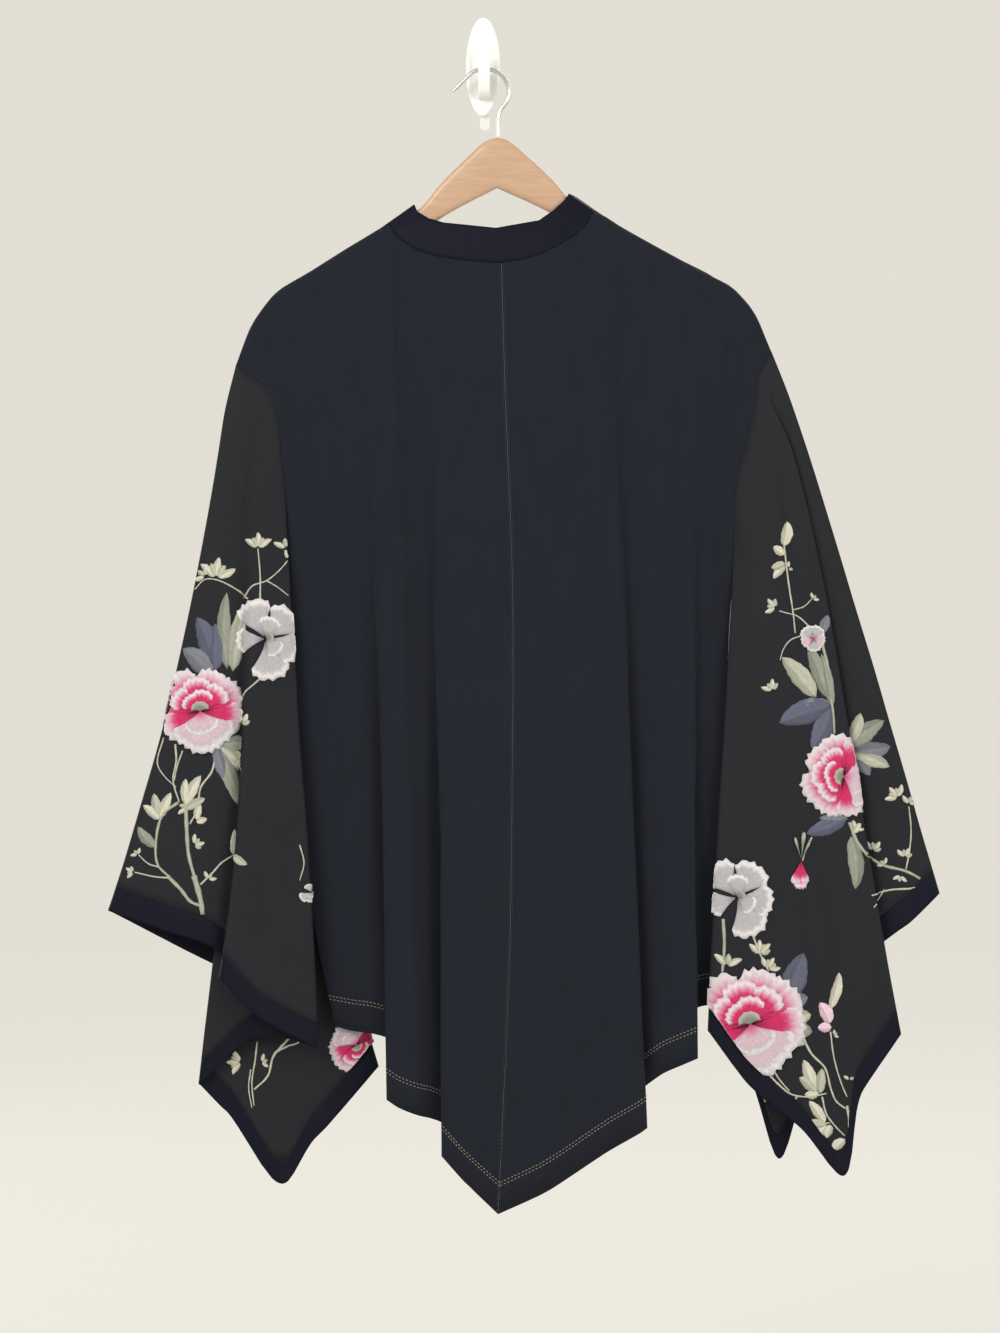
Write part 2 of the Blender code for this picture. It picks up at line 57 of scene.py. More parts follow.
bl_info = {
    "name": "Kimono Coat Looks",
    "version": (1, 0, 0),
    "blender": (4, 5, 0),
    "location": "3D View > Sidebar > Coat",
    "description": "Cloth, embroidery, stitching, hanger and stage of a hanging kimono coat",
    "category": "Object",
}

MM = 0.001

# Sizes of the solids
CUFF_BAND_WIDTH = 23.0
FRONT_BAND_WIDTH = 31.0
SHOULDER_OUT = 16.0
ROLL_DROP = 8.0
ROLL_ROWS = 3
BODY_ROWS = 13
BODY_ROW_CROWDING = 1.4
BODY_FOLD_GROWTH = 0.8
SLEEVE_ROWS = 12
SLEEVE_FOLD_GROWTH = 0.6
LEFT_LAUNCH = (8.0, 16.0)
RIGHT_LAUNCH = (2.0, 14.0)
LAUNCH_FULL_AT = 0.13
LAUNCH_SWELL = 3.5
ARMHOLE_SLOPE_REACH = 5.0
COLUMN_SHARES = (0.0, 0.2, 0.8)
LOOP_STARTS = 0.3
LOOP_FULL = -0.3
FOLD_LOOP_HALF = 1.9
FOLD_LOOP_DEPTH = 1.3
BAND_ROWS = 2
BAND_TILT = math.radians(35)
BAND_LEAN_LENGTH = 90.0
HANGER_X = 13.0
HANGER_CREST = 68.0
HANGER_TILT = math.radians(1.8)
WOOD_ROUNDNESS = 0.6
WIRE_RADIUS = 1.9
HOOK_CENTRE_X = 2.0
HOOK_CENTRE_DROP = 26.0
HOOK_BEND_RADIUS = 22.3
HOOK_BEND_FROM = math.radians(-10)
HOOK_BEND_TO = math.radians(135)
HOOK_BEND_STEPS = 28
PLATE_WIDTH = 32.0
PLATE_HEIGHT = 93.0
# How far in from the plate's rim, and how far out from the wall
PLATE_PROFILE = [
    (0.0, 0.0), (0.0, 2.9), (0.35, 3.8), (1.3, 4.35), (2.4, 4.5), (4.4, 4.5), (5.0, 4.2), (6.5, 4.15),
]
PLATE_SIDES = 72
PEG_X = 1.0
PEG_WIDTH = 11.0
PEG_ROUNDING = 1.1
TAB_MIDDLE = (1.5, -0.9, -51.0)
TAB_SIZE = (9.0, 0.5, 15.0)
TAB_ROUNDING = 3.0
WOOD_SIDES = 28
WIRE_SIDES = 14

# How finely the cloth is drawn: steps between the solids' own columns and rows
FINE_COLUMNS = 3
FINE_BODY_ROWS = 4
FINE_SLEEVE_ROWS = 5
FINE_BAND_ROWS = 3
SEAM_DRAW = 0.16
WELD = 0.02

# Stitching: the gap between the hem's twin rows, and the centre seam's row beside the seam
HEM_ROW_GAP = 0.0032
SEAM_ROW_ASIDE = 0.0018
SEAM_PITCH = 0.0034
SEAM_STITCH = 0.0027
SEAM_THREAD_SHARE = 1.3
SEAM_FIRST_ROW = 2

Edge = namedtuple("Edge", "drop x back_out front_out", defaults=(21.4, 19.2))
Fold = namedtuple("Fold", "name top_x top_drop top_out lie hem_x hem_drop hem_out bow")
Cuff = namedtuple("Cuff", "name around x drop out bow")
Section = namedtuple("Section", "reach top bottom thick")
Crease = namedtuple("Crease", "x0 drop0 x1 drop1 width depth")

LEFT_EDGE = [
    Edge(279, -230, 17.0, 15.0), Edge(291, -217, 20.5, 12.0), Edge(300, -203, 22.5, 10.5),
    Edge(314, -193, 23.5, 9.5), Edge(342, -190, 24.0, 9.0), Edge(389, -185, 24.0, 9.5),
    Edge(445, -182, 23.0, 13.0), Edge(500, -179, 21.7, 18.9), Edge(547, -178), Edge(640, -173),
    Edge(724, -170), Edge(789, -161), Edge(835, -152), Edge(897, -138),
]
RIGHT_EDGE = [
    Edge(268, 269, 17.0, 15.0), Edge(286, 258, 20.5, 11.5), Edge(319, 253, 23.0, 9.5),
    Edge(361, 244, 24.0, 9.0), Edge(389, 236, 24.0, 9.5), Edge(435, 234, 23.3, 12.5),
    Edge(496, 232, 21.7, 18.9), Edge(547, 228.0), Edge(686, 224), Edge(826, 222), Edge(877, 219.5),
]
LEFT_UNDERARM = 500.0
RIGHT_UNDERARM = 496.0
CENTRE_SEAM = [(186, 17), (319, 21), (458, 27), (528, 28), (686, 27), (826, 25), (942, 20), (1068, 14)]

BACK_LEFT = [
    Fold("side", -230, 279, 17.0, 20.0, -138, 897, 21.4, 1.0),
    Fold("tip", -215, 242, 16.8, 22.0, -122, 901, 25, 0.40),
    Fold("panel", -193, 213, 16.5, 24.5, -104, 903, 29, 0.50),
    Fold("soft", -161, 193, 16.5, 24.5, -92, 906, 30, 0.70),
    Fold("valley", -126, 171, 16.5, 24.5, -71, 916, 28, 1.0),
    Fold("ridge", -111, 162, 16.5, 24.5, -89, 963, 43, 0.50),
    Fold("corner", -96, 153, 16.8, 24.5, -76, 971, 47, 0.80),
    Fold("neck_turn", -89, 150, 21.0, 24.5, -61, 977, 46, 0.80),
    Fold("neck_back", -82, 160, 24.5, 24.5, -46, 982, 36, 0.90),
    Fold("neck_valley", -62, 174, 24.5, 24.5, -24, 994, 28, 1.0),
    Fold("neck_ridge", -42, 180, 24.5, 24.5, -38, 1015, 46, 1.0),
    Fold("neck_soft", -16, 184, 24.5, 24.5, -12, 1043, 50, 1.0),
    Fold("centre", 17, 186, 24.5, 24.5, 14, 1068, 51, 1.0),
]
BACK_RIGHT = [
    Fold("centre", 17, 186, 24.5, 24.5, 14, 1068, 51, 1.0),
    Fold("neck_soft", 44, 181, 24.5, 24.5, 58, 1048, 49, 1.0),
    Fold("neck_hollow", 64, 173, 24.5, 24.5, 90, 1028, 45, 1.0),
    Fold("neck_back", 83, 162, 24.5, 24.5, 115, 1011, 48, 1.0),
    Fold("neck_turn", 97, 149, 24.5, 24.5, 132, 1001, 49, 0.90),
    Fold("neck_corner", 103, 139, 21.0, 24.5, 143, 995, 47, 0.90),
    Fold("ridge", 112, 141, 16.8, 24.5, 152, 989, 43, 0.90),
    Fold("valley", 128, 151, 16.5, 24.5, 140, 961, 27.5, 1.0),
    Fold("soft", 160, 169, 16.5, 24.5, 172, 937, 38, 1.0),
    Fold("side_ridge", 193, 187, 16.5, 24.5, 199, 925, 40, 1.0),
    Fold("side_valley", 212, 197, 16.5, 24.5, 187, 898, 28, 1.0),
    Fold("side_panel", 232, 208, 16.5, 24.5, 197, 881, 24, 0.50),
    Fold("tip", 251, 229, 16.8, 22.0, 205, 878, 23, 0.30),
    Fold("side", 269, 268, 17.0, 20.0, 218, 877, 21.4, 1.0),
]
FRONT_LEFT = [
    Fold("side", -230, 279, 15.0, 12.0, -138, 890, 19.2, 1.0),
    Fold("tip", -215, 242, 15.2, 9.5, -123, 888, 17, 0.40),
    Fold("panel", -193, 213, 15.5, 8.2, -108, 887, 15, 0.50),
    Fold("soft", -161, 193, 15.5, 8.2, -92, 886, 18, 0.70),
    Fold("valley", -126, 171, 15.5, 8.2, -72, 886, 15, 1.0),
    Fold("edge", -96, 153, 15.2, 8.2, -53, 886, 16, 1.0),
]
FRONT_RIGHT = [
    Fold("edge", 112, 141, 15.2, 8.2, 78, 870, 16, 1.0),
    Fold("valley", 140, 158, 15.5, 8.2, 105, 869, 14, 1.0),
    Fold("soft", 176, 178, 15.5, 8.2, 138, 868, 18, 1.0),
    Fold("panel", 216, 199, 15.5, 8.2, 176, 867, 15, 0.60),
    Fold("tip", 251, 229, 15.2, 9.5, 205, 867, 17, 0.30),
    Fold("side", 269, 268, 15.0, 12.0, 218, 868, 19.2, 1.0),
]
LEFT_CUFF = [
    Cuff("over_arm", 0.00, -349, 789, 25, 1.45),
    Cuff("outer", 0.05, -296, 807, 37, 1.30),
    Cuff("outer_end", 0.09, -258, 819, 39, 1.20),
    Cuff("first_valley", 0.14, -232, 838, 33, 1.20),
    Cuff("first_ridge", 0.22, -244, 849, 46, 1.60),
    Cuff("near_panel", 0.35, -203, 889, 51, 1.20),
    Cuff("body_fold", 0.54, -153, 915, 43, 0.50),
    Cuff("second_layer", 0.73, -206, 906, 26, 0.80),
    Cuff("left_fold", 0.87, -265, 951, 21, 0.65),
    Cuff("third_layer", 0.96, -238, 979, 15, 0.65),
    Cuff("underarm_tip", 1.00, -188, 1045, 14, 0.90),
    Cuff("rise", 1.10, -159, 1005, 13, 1.30),
    Cuff("far_fold", 1.33, -98, 936, 8.5, 1.80),
    Cuff("far_layer", 1.65, -170, 882, 3.6, 1.20),
    Cuff("far_outer", 1.91, -263, 835, 8, 1.20),
]
RIGHT_CUFF = [
    Cuff("over_arm", 0.00, 425, 773, 24, 0.95),
    Cuff("outer", 0.03, 395, 801, 34, 0.95),
    Cuff("first_valley", 0.07, 350, 836, 28, 1.00),
    Cuff("first_ridge", 0.13, 387, 902, 44, 0.88),
    Cuff("near_panel", 0.25, 350, 957, 49, 0.95),
    Cuff("front_tip", 0.40, 334, 1033, 47, 1.00),
    Cuff("near_hollow", 0.52, 295, 990, 45, 1.00),
    Cuff("near_rise", 0.66, 253, 956, 42, 1.10),
    Cuff("body_fold", 0.82, 209, 900, 35, 0.74),
    Cuff("under_fold", 0.93, 229, 890, 27, 1.50),
    Cuff("underarm", 1.02, 232, 895, 16, 1.30),
    Cuff("spike_rise", 1.15, 255, 961, 13, 1.10),
    Cuff("spike", 1.35, 277, 1022, 11, 1.00),
    Cuff("far_layer", 1.60, 300, 960, 8.5, 1.00),
    Cuff("far_inner", 1.78, 345, 854, 5.5, 1.00),
    Cuff("far_outer", 1.93, 392, 800, 9, 0.95),
]
NECK_FREE_EDGE = [
    (-96, -69, 134), (-89, -64, 131), (-82, -61, 138), (-62, -51, 144), (-42, -37, 148),
    (17, 12, 153), (64, 52, 146), (83, 65, 137), (97, 75, 128), (103, 80, 121), (112, 84, 122),
]
HANGER_SECTIONS = [
    Section(0, 0.0, 47, 12), Section(10, 2.5, 52, 12), Section(25, 15.0, 59, 12), Section(53, 42.0, 74, 12),
    Section(71, 63.0, 88, 12), Section(109, 86.0, 115, 12), Section(160, 117.0, 140, 12),
    Section(196, 141.0, 160, 11), Section(205, 148.0, 162, 8), Section(208, 152.0, 159, 4),
]
STEM = [(1.0, 67.2), (1.0, 56), (1.0, 48), (4.2, 41), (8.6, 35)]
WIRE_TIP = (-28, 24.6)
PEG_PROFILE = [
    (3.0, 31), (11.0, 29.5), (17.5, 24), (21.2, 15), (22.4, 4), (22.6, -10), (21.8, -15.2),
    (20.4, -15.2), (19.0, -9), (18.4, 3), (17.4, 7.2), (3.0, 7.2),
]

# Soft creases between the main folds, by their piece and the shares of its width that they stay in.
# Depth is outwards from the coat, so a trough is negative.
CREASES = {
    ("back_left", 0, 1): (
        Crease(-124, 445, -113, 590, 3.5, -1.4), Crease(-205, 292, -168, 372, 6, 1.6),
        Crease(-190, 300, -160, 450, 8, -1.4), Crease(-64, 205, -46, 380, 12, 1.4),
        Crease(-150, 560, -128, 760, 9, 1.5), Crease(-165, 480, -140, 600, 6, -1.2),
        Crease(-30, 520, -5, 640, 8, -0.9), Crease(-45, 700, -10, 930, 12, -2.0),
    ),
    ("back_right", 0, 1): (
        Crease(30, 552, 58, 550, 3.2, -1.0), Crease(74, 330, 84, 500, 12, 1.6),
        Crease(165, 390, 158, 700, 14, -1.8), Crease(236, 330, 200, 470, 7, 1.6),
        Crease(226, 440, 206, 560, 5, -1.5), Crease(214, 500, 196, 640, 6, 1.5),
        Crease(48, 600, 60, 900, 16, 2.0), Crease(100, 560, 108, 840, 10, -1.6),
        Crease(185, 640, 196, 820, 7, -1.4),
    ),
    ("front_left", 0, 1): (
        Crease(-200, 300, -150, 480, 9, 1.3), Crease(-150, 380, -120, 720, 12, -1.5),
        Crease(-100, 300, -86, 560, 8, 1.2),
    ),
    ("front_right", 0, 1): (
        Crease(240, 300, 200, 480, 9, 1.3), Crease(170, 360, 150, 700, 12, -1.5),
        Crease(120, 280, 108, 560, 8, 1.2),
    ),
    ("sleeve_left", 0.1, 0.42): (
        Crease(-262, 470, -246, 640, 8, 1.5), Crease(-218, 420, -206, 600, 7, -1.6),
        Crease(-222, 640, -208, 800, 10, 1.6), Crease(-195, 560, -178, 740, 8, -1.4),
    ),
    ("sleeve_left", 0.0, 0.2): (
        Crease(-300, 600, -318, 760, 9, -1.2),
    ),
    ("sleeve_left", 0.75, 1.0): (
        Crease(-230, 430, -250, 700, 10, -1.6), Crease(-190, 480, -190, 760, 10, 1.6),
    ),
    ("sleeve_right", 0.1, 0.55): (
        Crease(252, 324, 276, 560, 7, -2.4), Crease(272, 380, 300, 600, 9, 1.8),
        Crease(300, 560, 320, 760, 9, -1.5), Crease(262, 640, 280, 900, 12, 1.6),
        Crease(310, 760, 318, 960, 10, -1.6),
    ),
    ("sleeve_right", 0.75, 1.0): (
        Crease(280, 400, 310, 700, 11, -1.8), Crease(320, 480, 362, 760, 10, 1.5),
    ),
}

# Embroidery: what is sewn on each sleeve, in millimetres. Angles are degrees clockwise from upwards.
Flower = namedtuple("Flower", "kind x drop size turn")
Leaf = namedtuple("Leaf", "colour x drop tip_x tip_drop width")
Sprig = namedtuple("Sprig", "x drop turn size leaves")
Stem = namedtuple("Stem", "width points")

THREADS = {
    "deep": (0.22, 0.004, 0.045),
    "magenta": (0.52, 0.012, 0.10),
    "pink": (0.60, 0.18, 0.32),
    "pale": (0.56, 0.41, 0.48),
    "white": (0.66, 0.63, 0.65),
    "silver": (0.40, 0.39, 0.41),
    "smoke": (0.19, 0.19, 0.21),
    "slate": (0.075, 0.082, 0.125),
    "dusk": (0.13, 0.135, 0.165),
    "moss": (0.20, 0.215, 0.175),
    "sage": (0.33, 0.34, 0.27),
    "straw": (0.44, 0.43, 0.35),
}

# Thread colours from a petal's foot to its rim
PETAL_SHADES = {
    "heart": (
        (0.0, "deep"), (0.3, "magenta"), (0.66, "magenta"), (0.76, "pink"), (0.88, "white"), (1.0, "pale"),
    ),
    "guard": (
        (0.0, "deep"), (0.3, "magenta"), (0.64, "magenta"), (0.72, "pink"), (0.82, "pale"), (1.0, "white"),
    ),
    "cup": (
        (0.0, "magenta"), (0.22, "pink"), (0.42, "pale"), (0.7, "pale"), (0.84, "silver"), (0.9, "white"),
        (1.0, "white"),
    ),
    "pearl": ((0.0, "smoke"), (0.3, "silver"), (0.78, "silver"), (0.86, "white"), (1.0, "white")),
    "fringe": ((0.0, "smoke"), (0.5, "moss"), (1.0, "straw")),
}

# Petals of a flower: kind of petal, direction, reach and half spread, from the back ones to the front ones
PETALS = {
    "peony": (
        ("guard", -68, 0.98, 27), ("guard", 64, 1.0, 26), ("guard", -30, 1.02, 25), ("guard", 26, 0.97, 24),
        ("guard", -112, 0.92, 25), ("guard", 106, 0.94, 26), ("heart", -4, 0.80, 27),
        ("heart", -52, 0.72, 26),
        ("heart", 48, 0.74, 26), ("cup", -146, 0.90, 25), ("cup", 142, 0.92, 25), ("cup", 180, 0.98, 27),
        ("heart", 14, 0.50, 34), ("heart", -40, 0.46, 32), ("cup", 196, 0.60, 32), ("cup", 158, 0.58, 32),
        ("fringe", 0, 0.24, 70),
    ),
    "open_flower": (
        ("pearl", -28, 1.0, 30), ("pearl", 42, 0.94, 33), ("pearl", 108, 0.88, 31), ("pearl", 166, 1.02, 30),
        ("pearl", -98, 0.74, 28), ("pearl", 12, 0.56, 34), ("pearl", 132, 0.50, 34), ("fringe", 60, 0.22, 60),
    ),
    "small_flower": (
        ("pearl", -60, 1.0, 38), ("pearl", 10, 1.0, 38), ("cup", 80, 0.95, 38), ("pearl", 150, 0.95, 38),
        ("cup", -130, 0.9, 38), ("fringe", 0, 0.3, 80),
    ),
    "bud": (
        ("heart", 180, 1.0, 15), ("guard", 193, 0.86, 13), ("guard", 168, 0.82, 12), ("fringe", 4, 0.95, 5),
        ("fringe", -18, 0.8, 4), ("fringe", 24, 0.7, 4),
    ),
}

LEFT_SPRAY = (
    [
        Flower("peony", -262, 604, 42, -6), Flower("open_flower", -202, 536, 38, 4),
        Flower("open_flower", -160, 771, 11, 70), Flower("peony", -119, 915, 27, 150),
    ],
    [
        Leaf("slate", -247, 562, -266, 516, 20), Leaf("slate", -249, 566, -249, 522, 17),
        Leaf("dusk", -250, 572, -279, 545, 19), Leaf("moss", -238, 564, -238, 493, 13),
        Leaf("sage", -233, 566, -224, 505, 15), Leaf("moss", -246, 634, -211, 637, 15),
        Leaf("sage", -247, 632, -209, 660, 15), Leaf("moss", -247, 634, -228, 690, 15),
        Leaf("dusk", -248, 634, -238, 668, 12), Leaf("straw", -276, 690, -262, 663, 10),
        Leaf("straw", -276, 690, -276, 666, 8), Leaf("sage", -276, 694, -258, 684, 8),
        Leaf("straw", -301, 703, -290, 679, 9), Leaf("sage", -301, 703, -306, 680, 9),
        Leaf("straw", -301, 704, -316, 691, 8), Leaf("moss", -304, 730, -321, 711, 10),
        Leaf("straw", -266, 704, -262, 690, 7), Leaf("straw", -266, 706, -256, 703, 6),
        Leaf("straw", -233, 736, -231, 713, 6), Leaf("straw", -233, 736, -225, 720, 5),
        Leaf("sage", -232, 736, -218, 745, 7), Leaf("moss", -133, 962, -116, 928, 11),
        Leaf("straw", -138, 980, -112, 950, 9), Leaf("sage", -140, 984, -134, 940, 8),
        Leaf("straw", -146, 992, -120, 972, 8), Leaf("straw", -158, 1006, -148, 992, 9),
    ],
    [
        Sprig(-209, 452, 0, 15, 5), Sprig(-248, 480, 8, 20, 5), Sprig(-258, 478, -50, 12, 3),
        Sprig(-183, 452, -10, 13, 3), Sprig(-182, 462, 40, 9, 3), Sprig(-275, 693, -70, 10, 3),
        Sprig(-321, 737, -40, 7, 3), Sprig(-325, 753, -80, 8, 4), Sprig(-268, 727, 60, 10, 4),
        Sprig(-255, 759, 30, 8, 3), Sprig(-224, 616, 10, 12, 4), Sprig(-226, 931, -90, 14, 5),
        Sprig(-207, 931, 70, 8, 3), Sprig(-168, 905, 30, 8, 4), Sprig(-128, 930, -30, 14, 4),
    ],
    [
        Stem(1.9, [(-207, 500), (-207, 478), (-209, 452)]),
        Stem(1.8, [(-222, 498), (-214, 487), (-201, 482), (-190, 473), (-180, 461)]),
        Stem(1.6, [(-201, 482), (-191, 488), (-181, 496)]),
        Stem(1.8, [(-218, 499), (-231, 489), (-248, 481), (-259, 481), (-268, 490)]),
        Stem(2.0, [(-198, 560), (-206, 572), (-222, 588), (-226, 604)]),
        Stem(2.2, [(-286, 634), (-285, 650), (-288, 667), (-282, 688)]),
        Stem(1.8, [(-279, 640), (-284, 654), (-287, 668)]),
        Stem(2.4, [(-248, 646), (-252, 660), (-262, 674), (-265, 694), (-272, 708)]),
        Stem(4.2, [(-276, 690), (-275, 712), (-273, 737), (-266, 762)]),
        Stem(5.6, [(-268, 756), (-262, 778), (-259, 801)]),
        Stem(3.0, [(-283, 688), (-298, 700), (-304, 726), (-302, 746), (-290, 758)]),
        Stem(3.8, [(-293, 756), (-280, 769), (-271, 780), (-261, 784)]),
        Stem(1.8, [(-301, 748), (-311, 745), (-320, 737)]),
        Stem(1.9, [(-291, 758), (-305, 757), (-324, 753)]),
        Stem(2.2, [(-262, 764), (-250, 752), (-243, 744), (-232, 737)]),
        Stem(1.6, [(-297, 628), (-303, 652), (-296, 664), (-285, 674)]),
        Stem(2.6, [(-173, 900), (-186, 914), (-196, 926), (-201, 944), (-214, 957)]),
        Stem(2.2, [(-194, 922), (-182, 916), (-173, 913), (-168, 905)]),
        Stem(2.0, [(-211, 912), (-213, 930), (-216, 950), (-214, 972)]),
        Stem(1.6, [(-217, 938), (-219, 955), (-216, 974)]),
        Stem(1.8, [(-118, 936), (-128, 960), (-140, 984), (-158, 1004)]),
        Stem(1.6, [(-170, 727), (-166, 744), (-170, 760)]),
    ],
)

RIGHT_SPRAY = (
    [
        Flower("small_flower", 306, 536, 13, 20), Flower("peony", 335, 664, 40, -80),
        Flower("bud", 295, 741, 27, 2), Flower("open_flower", 236, 776, 38, -10),
        Flower("peony", 248, 894, 54, -14),
    ],
    [
        Leaf("straw", 280, 450, 283, 427, 10), Leaf("straw", 280, 458, 270, 450, 8),
        Leaf("sage", 281, 466, 268, 470, 8), Leaf("straw", 281, 468, 270, 480, 7),
        Leaf("dusk", 314, 531, 320, 514, 9), Leaf("sage", 309, 590, 278, 553, 17),
        Leaf("moss", 322, 592, 302, 543, 15), Leaf("moss", 324, 600, 314, 550, 9),
        Leaf("slate", 323, 597, 275, 614, 22), Leaf("dusk", 323, 598, 287, 600, 18),
        Leaf("slate", 323, 600, 305, 638, 18), Leaf("sage", 339, 636, 351, 605, 13),
        Leaf("moss", 340, 638, 373, 612, 16), Leaf("dusk", 341, 641, 379, 636, 17),
        Leaf("sage", 341, 643, 378, 655, 14), Leaf("dusk", 341, 644, 360, 663, 13),
        Leaf("sage", 339, 646, 346, 664, 11), Leaf("slate", 337, 703, 300, 717, 15),
        Leaf("dusk", 338, 703, 312, 702, 11), Leaf("moss", 341, 719, 345, 768, 14),
        Leaf("straw", 344, 716, 350, 707, 6), Leaf("slate", 281, 875, 297, 827, 22),
        Leaf("dusk", 280, 872, 301, 868, 15), Leaf("sage", 282, 892, 304, 884, 15),
        Leaf("moss", 282, 896, 305, 900, 16), Leaf("sage", 284, 899, 298, 912, 13),
        Leaf("moss", 282, 892, 294, 876, 12), Leaf("straw", 322, 879, 330, 845, 9),
        Leaf("pale", 322, 892, 312, 873, 12), Leaf("pale", 323, 896, 310, 896, 9),
        Leaf("straw", 308, 955, 297, 926, 11), Leaf("sage", 309, 956, 293, 942, 10),
        Leaf("sage", 312, 957, 314, 934, 9), Leaf("straw", 311, 957, 298, 958, 8),
        Leaf("straw", 317, 984, 302, 964, 9), Leaf("sage", 318, 986, 297, 984, 9),
        Leaf("straw", 318, 986, 306, 998, 9), Leaf("straw", 322, 986, 318, 998, 8),
        Leaf("straw", 335, 999, 323, 1010, 9), Leaf("sage", 338, 1000, 340, 988, 7),
    ],
    [
        Sprig(272, 507, -60, 11, 4), Sprig(306, 499, 40, 6, 3), Sprig(269, 584, -20, 11, 4),
        Sprig(284, 470, 60, 6, 2), Sprig(362, 733, 20, 11, 4), Sprig(392, 739, 10, 10, 4),
        Sprig(373, 746, -40, 7, 3), Sprig(386, 684, -40, 13, 5), Sprig(396, 690, 20, 10, 3),
        Sprig(388, 756, 190, 8, 3), Sprig(345, 712, 40, 8, 3), Sprig(257, 829, 10, 14, 6),
        Sprig(264, 842, 30, 12, 5), Sprig(226, 840, 10, 16, 3), Sprig(270, 964, -60, 11, 4),
        Sprig(325, 903, 60, 5, 3), Sprig(339, 944, 0, 6, 2), Sprig(336, 1012, 170, 8, 3),
    ],
    [
        Stem(2.0, [(280, 448), (282, 466), (285, 490), (288, 510), (290, 531)]),
        Stem(1.5, [(289, 509), (298, 506), (306, 498)]),
        Stem(1.7, [(303, 525), (292, 515), (282, 512), (275, 510)]),
        Stem(1.6, [(296, 533), (286, 537), (279, 546), (276, 556)]),
        Stem(3.0, [(315, 542), (320, 562), (322, 585), (325, 606), (326, 624)]),
        Stem(3.6, [(340, 706), (346, 723), (356, 736), (371, 746), (393, 752), (415, 764)]),
        Stem(2.4, [(415, 765), (398, 768), (380, 769), (360, 774)]),
        Stem(1.8, [(373, 769), (368, 777), (362, 785)]),
        Stem(1.8, [(393, 750), (396, 735), (398, 715), (396, 692)]),
        Stem(3.4, [(223, 796), (224, 820), (222, 846)]),
        Stem(2.4, [(240, 796), (248, 806), (256, 826), (265, 844)]),
        Stem(2.0, [(305, 720), (300, 730), (296, 742)]),
        Stem(2.4, [(296, 904), (304, 920), (317, 934), (322, 952), (327, 964), (336, 971)]),
        Stem(1.8, [(322, 900), (325, 923), (331, 945), (337, 960)]),
        Stem(2.2, [(262, 936), (273, 948), (286, 958), (302, 960), (318, 957)]),
        Stem(1.9, [(268, 934), (276, 946), (284, 955)]),
        Stem(2.0, [(291, 960), (283, 970), (272, 968), (260, 955)]),
        Stem(2.0, [(314, 960), (318, 976), (326, 987), (337, 998)]),
        Stem(1.6, [(321, 984), (312, 986), (303, 991)]), Stem(2.6, [(337, 968), (339, 984), (337, 1004)]),
    ],
)

# How the embroidery lies: its height at the edge and in the middle, and each further layer's step
THREAD_EDGE = 0.25
THREAD_DOME = 0.75
THREAD_LAYER = 0.12
THREAD_THICKNESS = 0.3
DRAPE_STEPS = 12
DRAPE_HALVINGS = 5
DRAPE_JUMP = 5.0
RAY_START = 0.4
PETAL_ROWS, PETAL_COLUMNS = 9, 12
LEAF_ROWS, LEAF_COLUMNS = 12, 6
STEM_COLUMNS = 4
STEM_SHARES = [0.0, 0.2, 0.4, 0.6, 0.8]
SPRIG_SPREAD = 110
CUP_FOOT = 0.06
FIRST_FLOWER_LAYER = 4

# Uneven lie of the cloth beside its creases
UNEVEN_DEPTH = 0.9
UNEVEN_WIDTH = 46.0
UNEVEN_LENGTH = 120.0

# Shares of a crease's length: how far it runs on past its ends, rises to its full depth and bows aside
CREASE_OVERRUN = 0.2
CREASE_RISE = 0.3
CREASE_BOW = 0.06

# Stage, in metres
FLOOR_LEVEL = -1.36
FLOOR_HUB = 0.02
FLOOR_REACH = 8.0
FLOOR_BEND = 2.0
FLOOR_BEND_STEPS = 12
FLOOR_SPIN_STEPS = 96
BACKDROP_HEIGHT = 6.0
AIM = Vector((0.0158, 0.0, -0.5617))
CAMERA_LENS = 100.0
CAMERA_CLIP = 100.0
VIEW_HEIGHT = 1.2397
NEAREST_CLOTH = 0.03
Lamp = namedtuple("Lamp", "name spot size power colour")
LAMPS = [
    Lamp("window_light", (-2.1, -2.7, 1.5), 2.2, 95.0, (1.0, 0.98, 0.95)),
    Lamp("fill_light", (2.6, -2.4, 0.2), 2.0, 48.0, (1.0, 0.97, 0.93)),
    Lamp("back_light", (1.2, 3.0, 1.6), 2.4, 45.0, (0.96, 0.98, 1.0)),
    Lamp("wall_side_fill", (-2.6, 2.2, -0.2), 2.0, 40.0, (1.0, 0.98, 0.95)),
]
ROOM_COLOUR = (0.95, 0.94, 0.90, 1.0)
ROOM_STRENGTH = 0.55


def place(x, drop, out):
    """Millimetres right, down and out from the wall, as a point in metres."""
    return Vector((x, -out, -drop)) * MM


def mix(a, b, share):
    return a + (b - a) * share


def look_up(table, key, column):
    """Straight-line value of one column at a key, where column 0 holds the keys."""
    for low, high in zip(table, table[1:]):
        if key <= high[0]:
            share = max(0.0, (key - low[0]) / (high[0] - low[0]))
            return mix(low[column], high[column], share)
    return table[-1][column]


def ease(value, start, end):
    """0 before start and 1 after end, with a soft rise between."""
    share = min(1.0, max(0.0, (value - start) / (end - start)))
    return share * share * (3 - 2 * share)


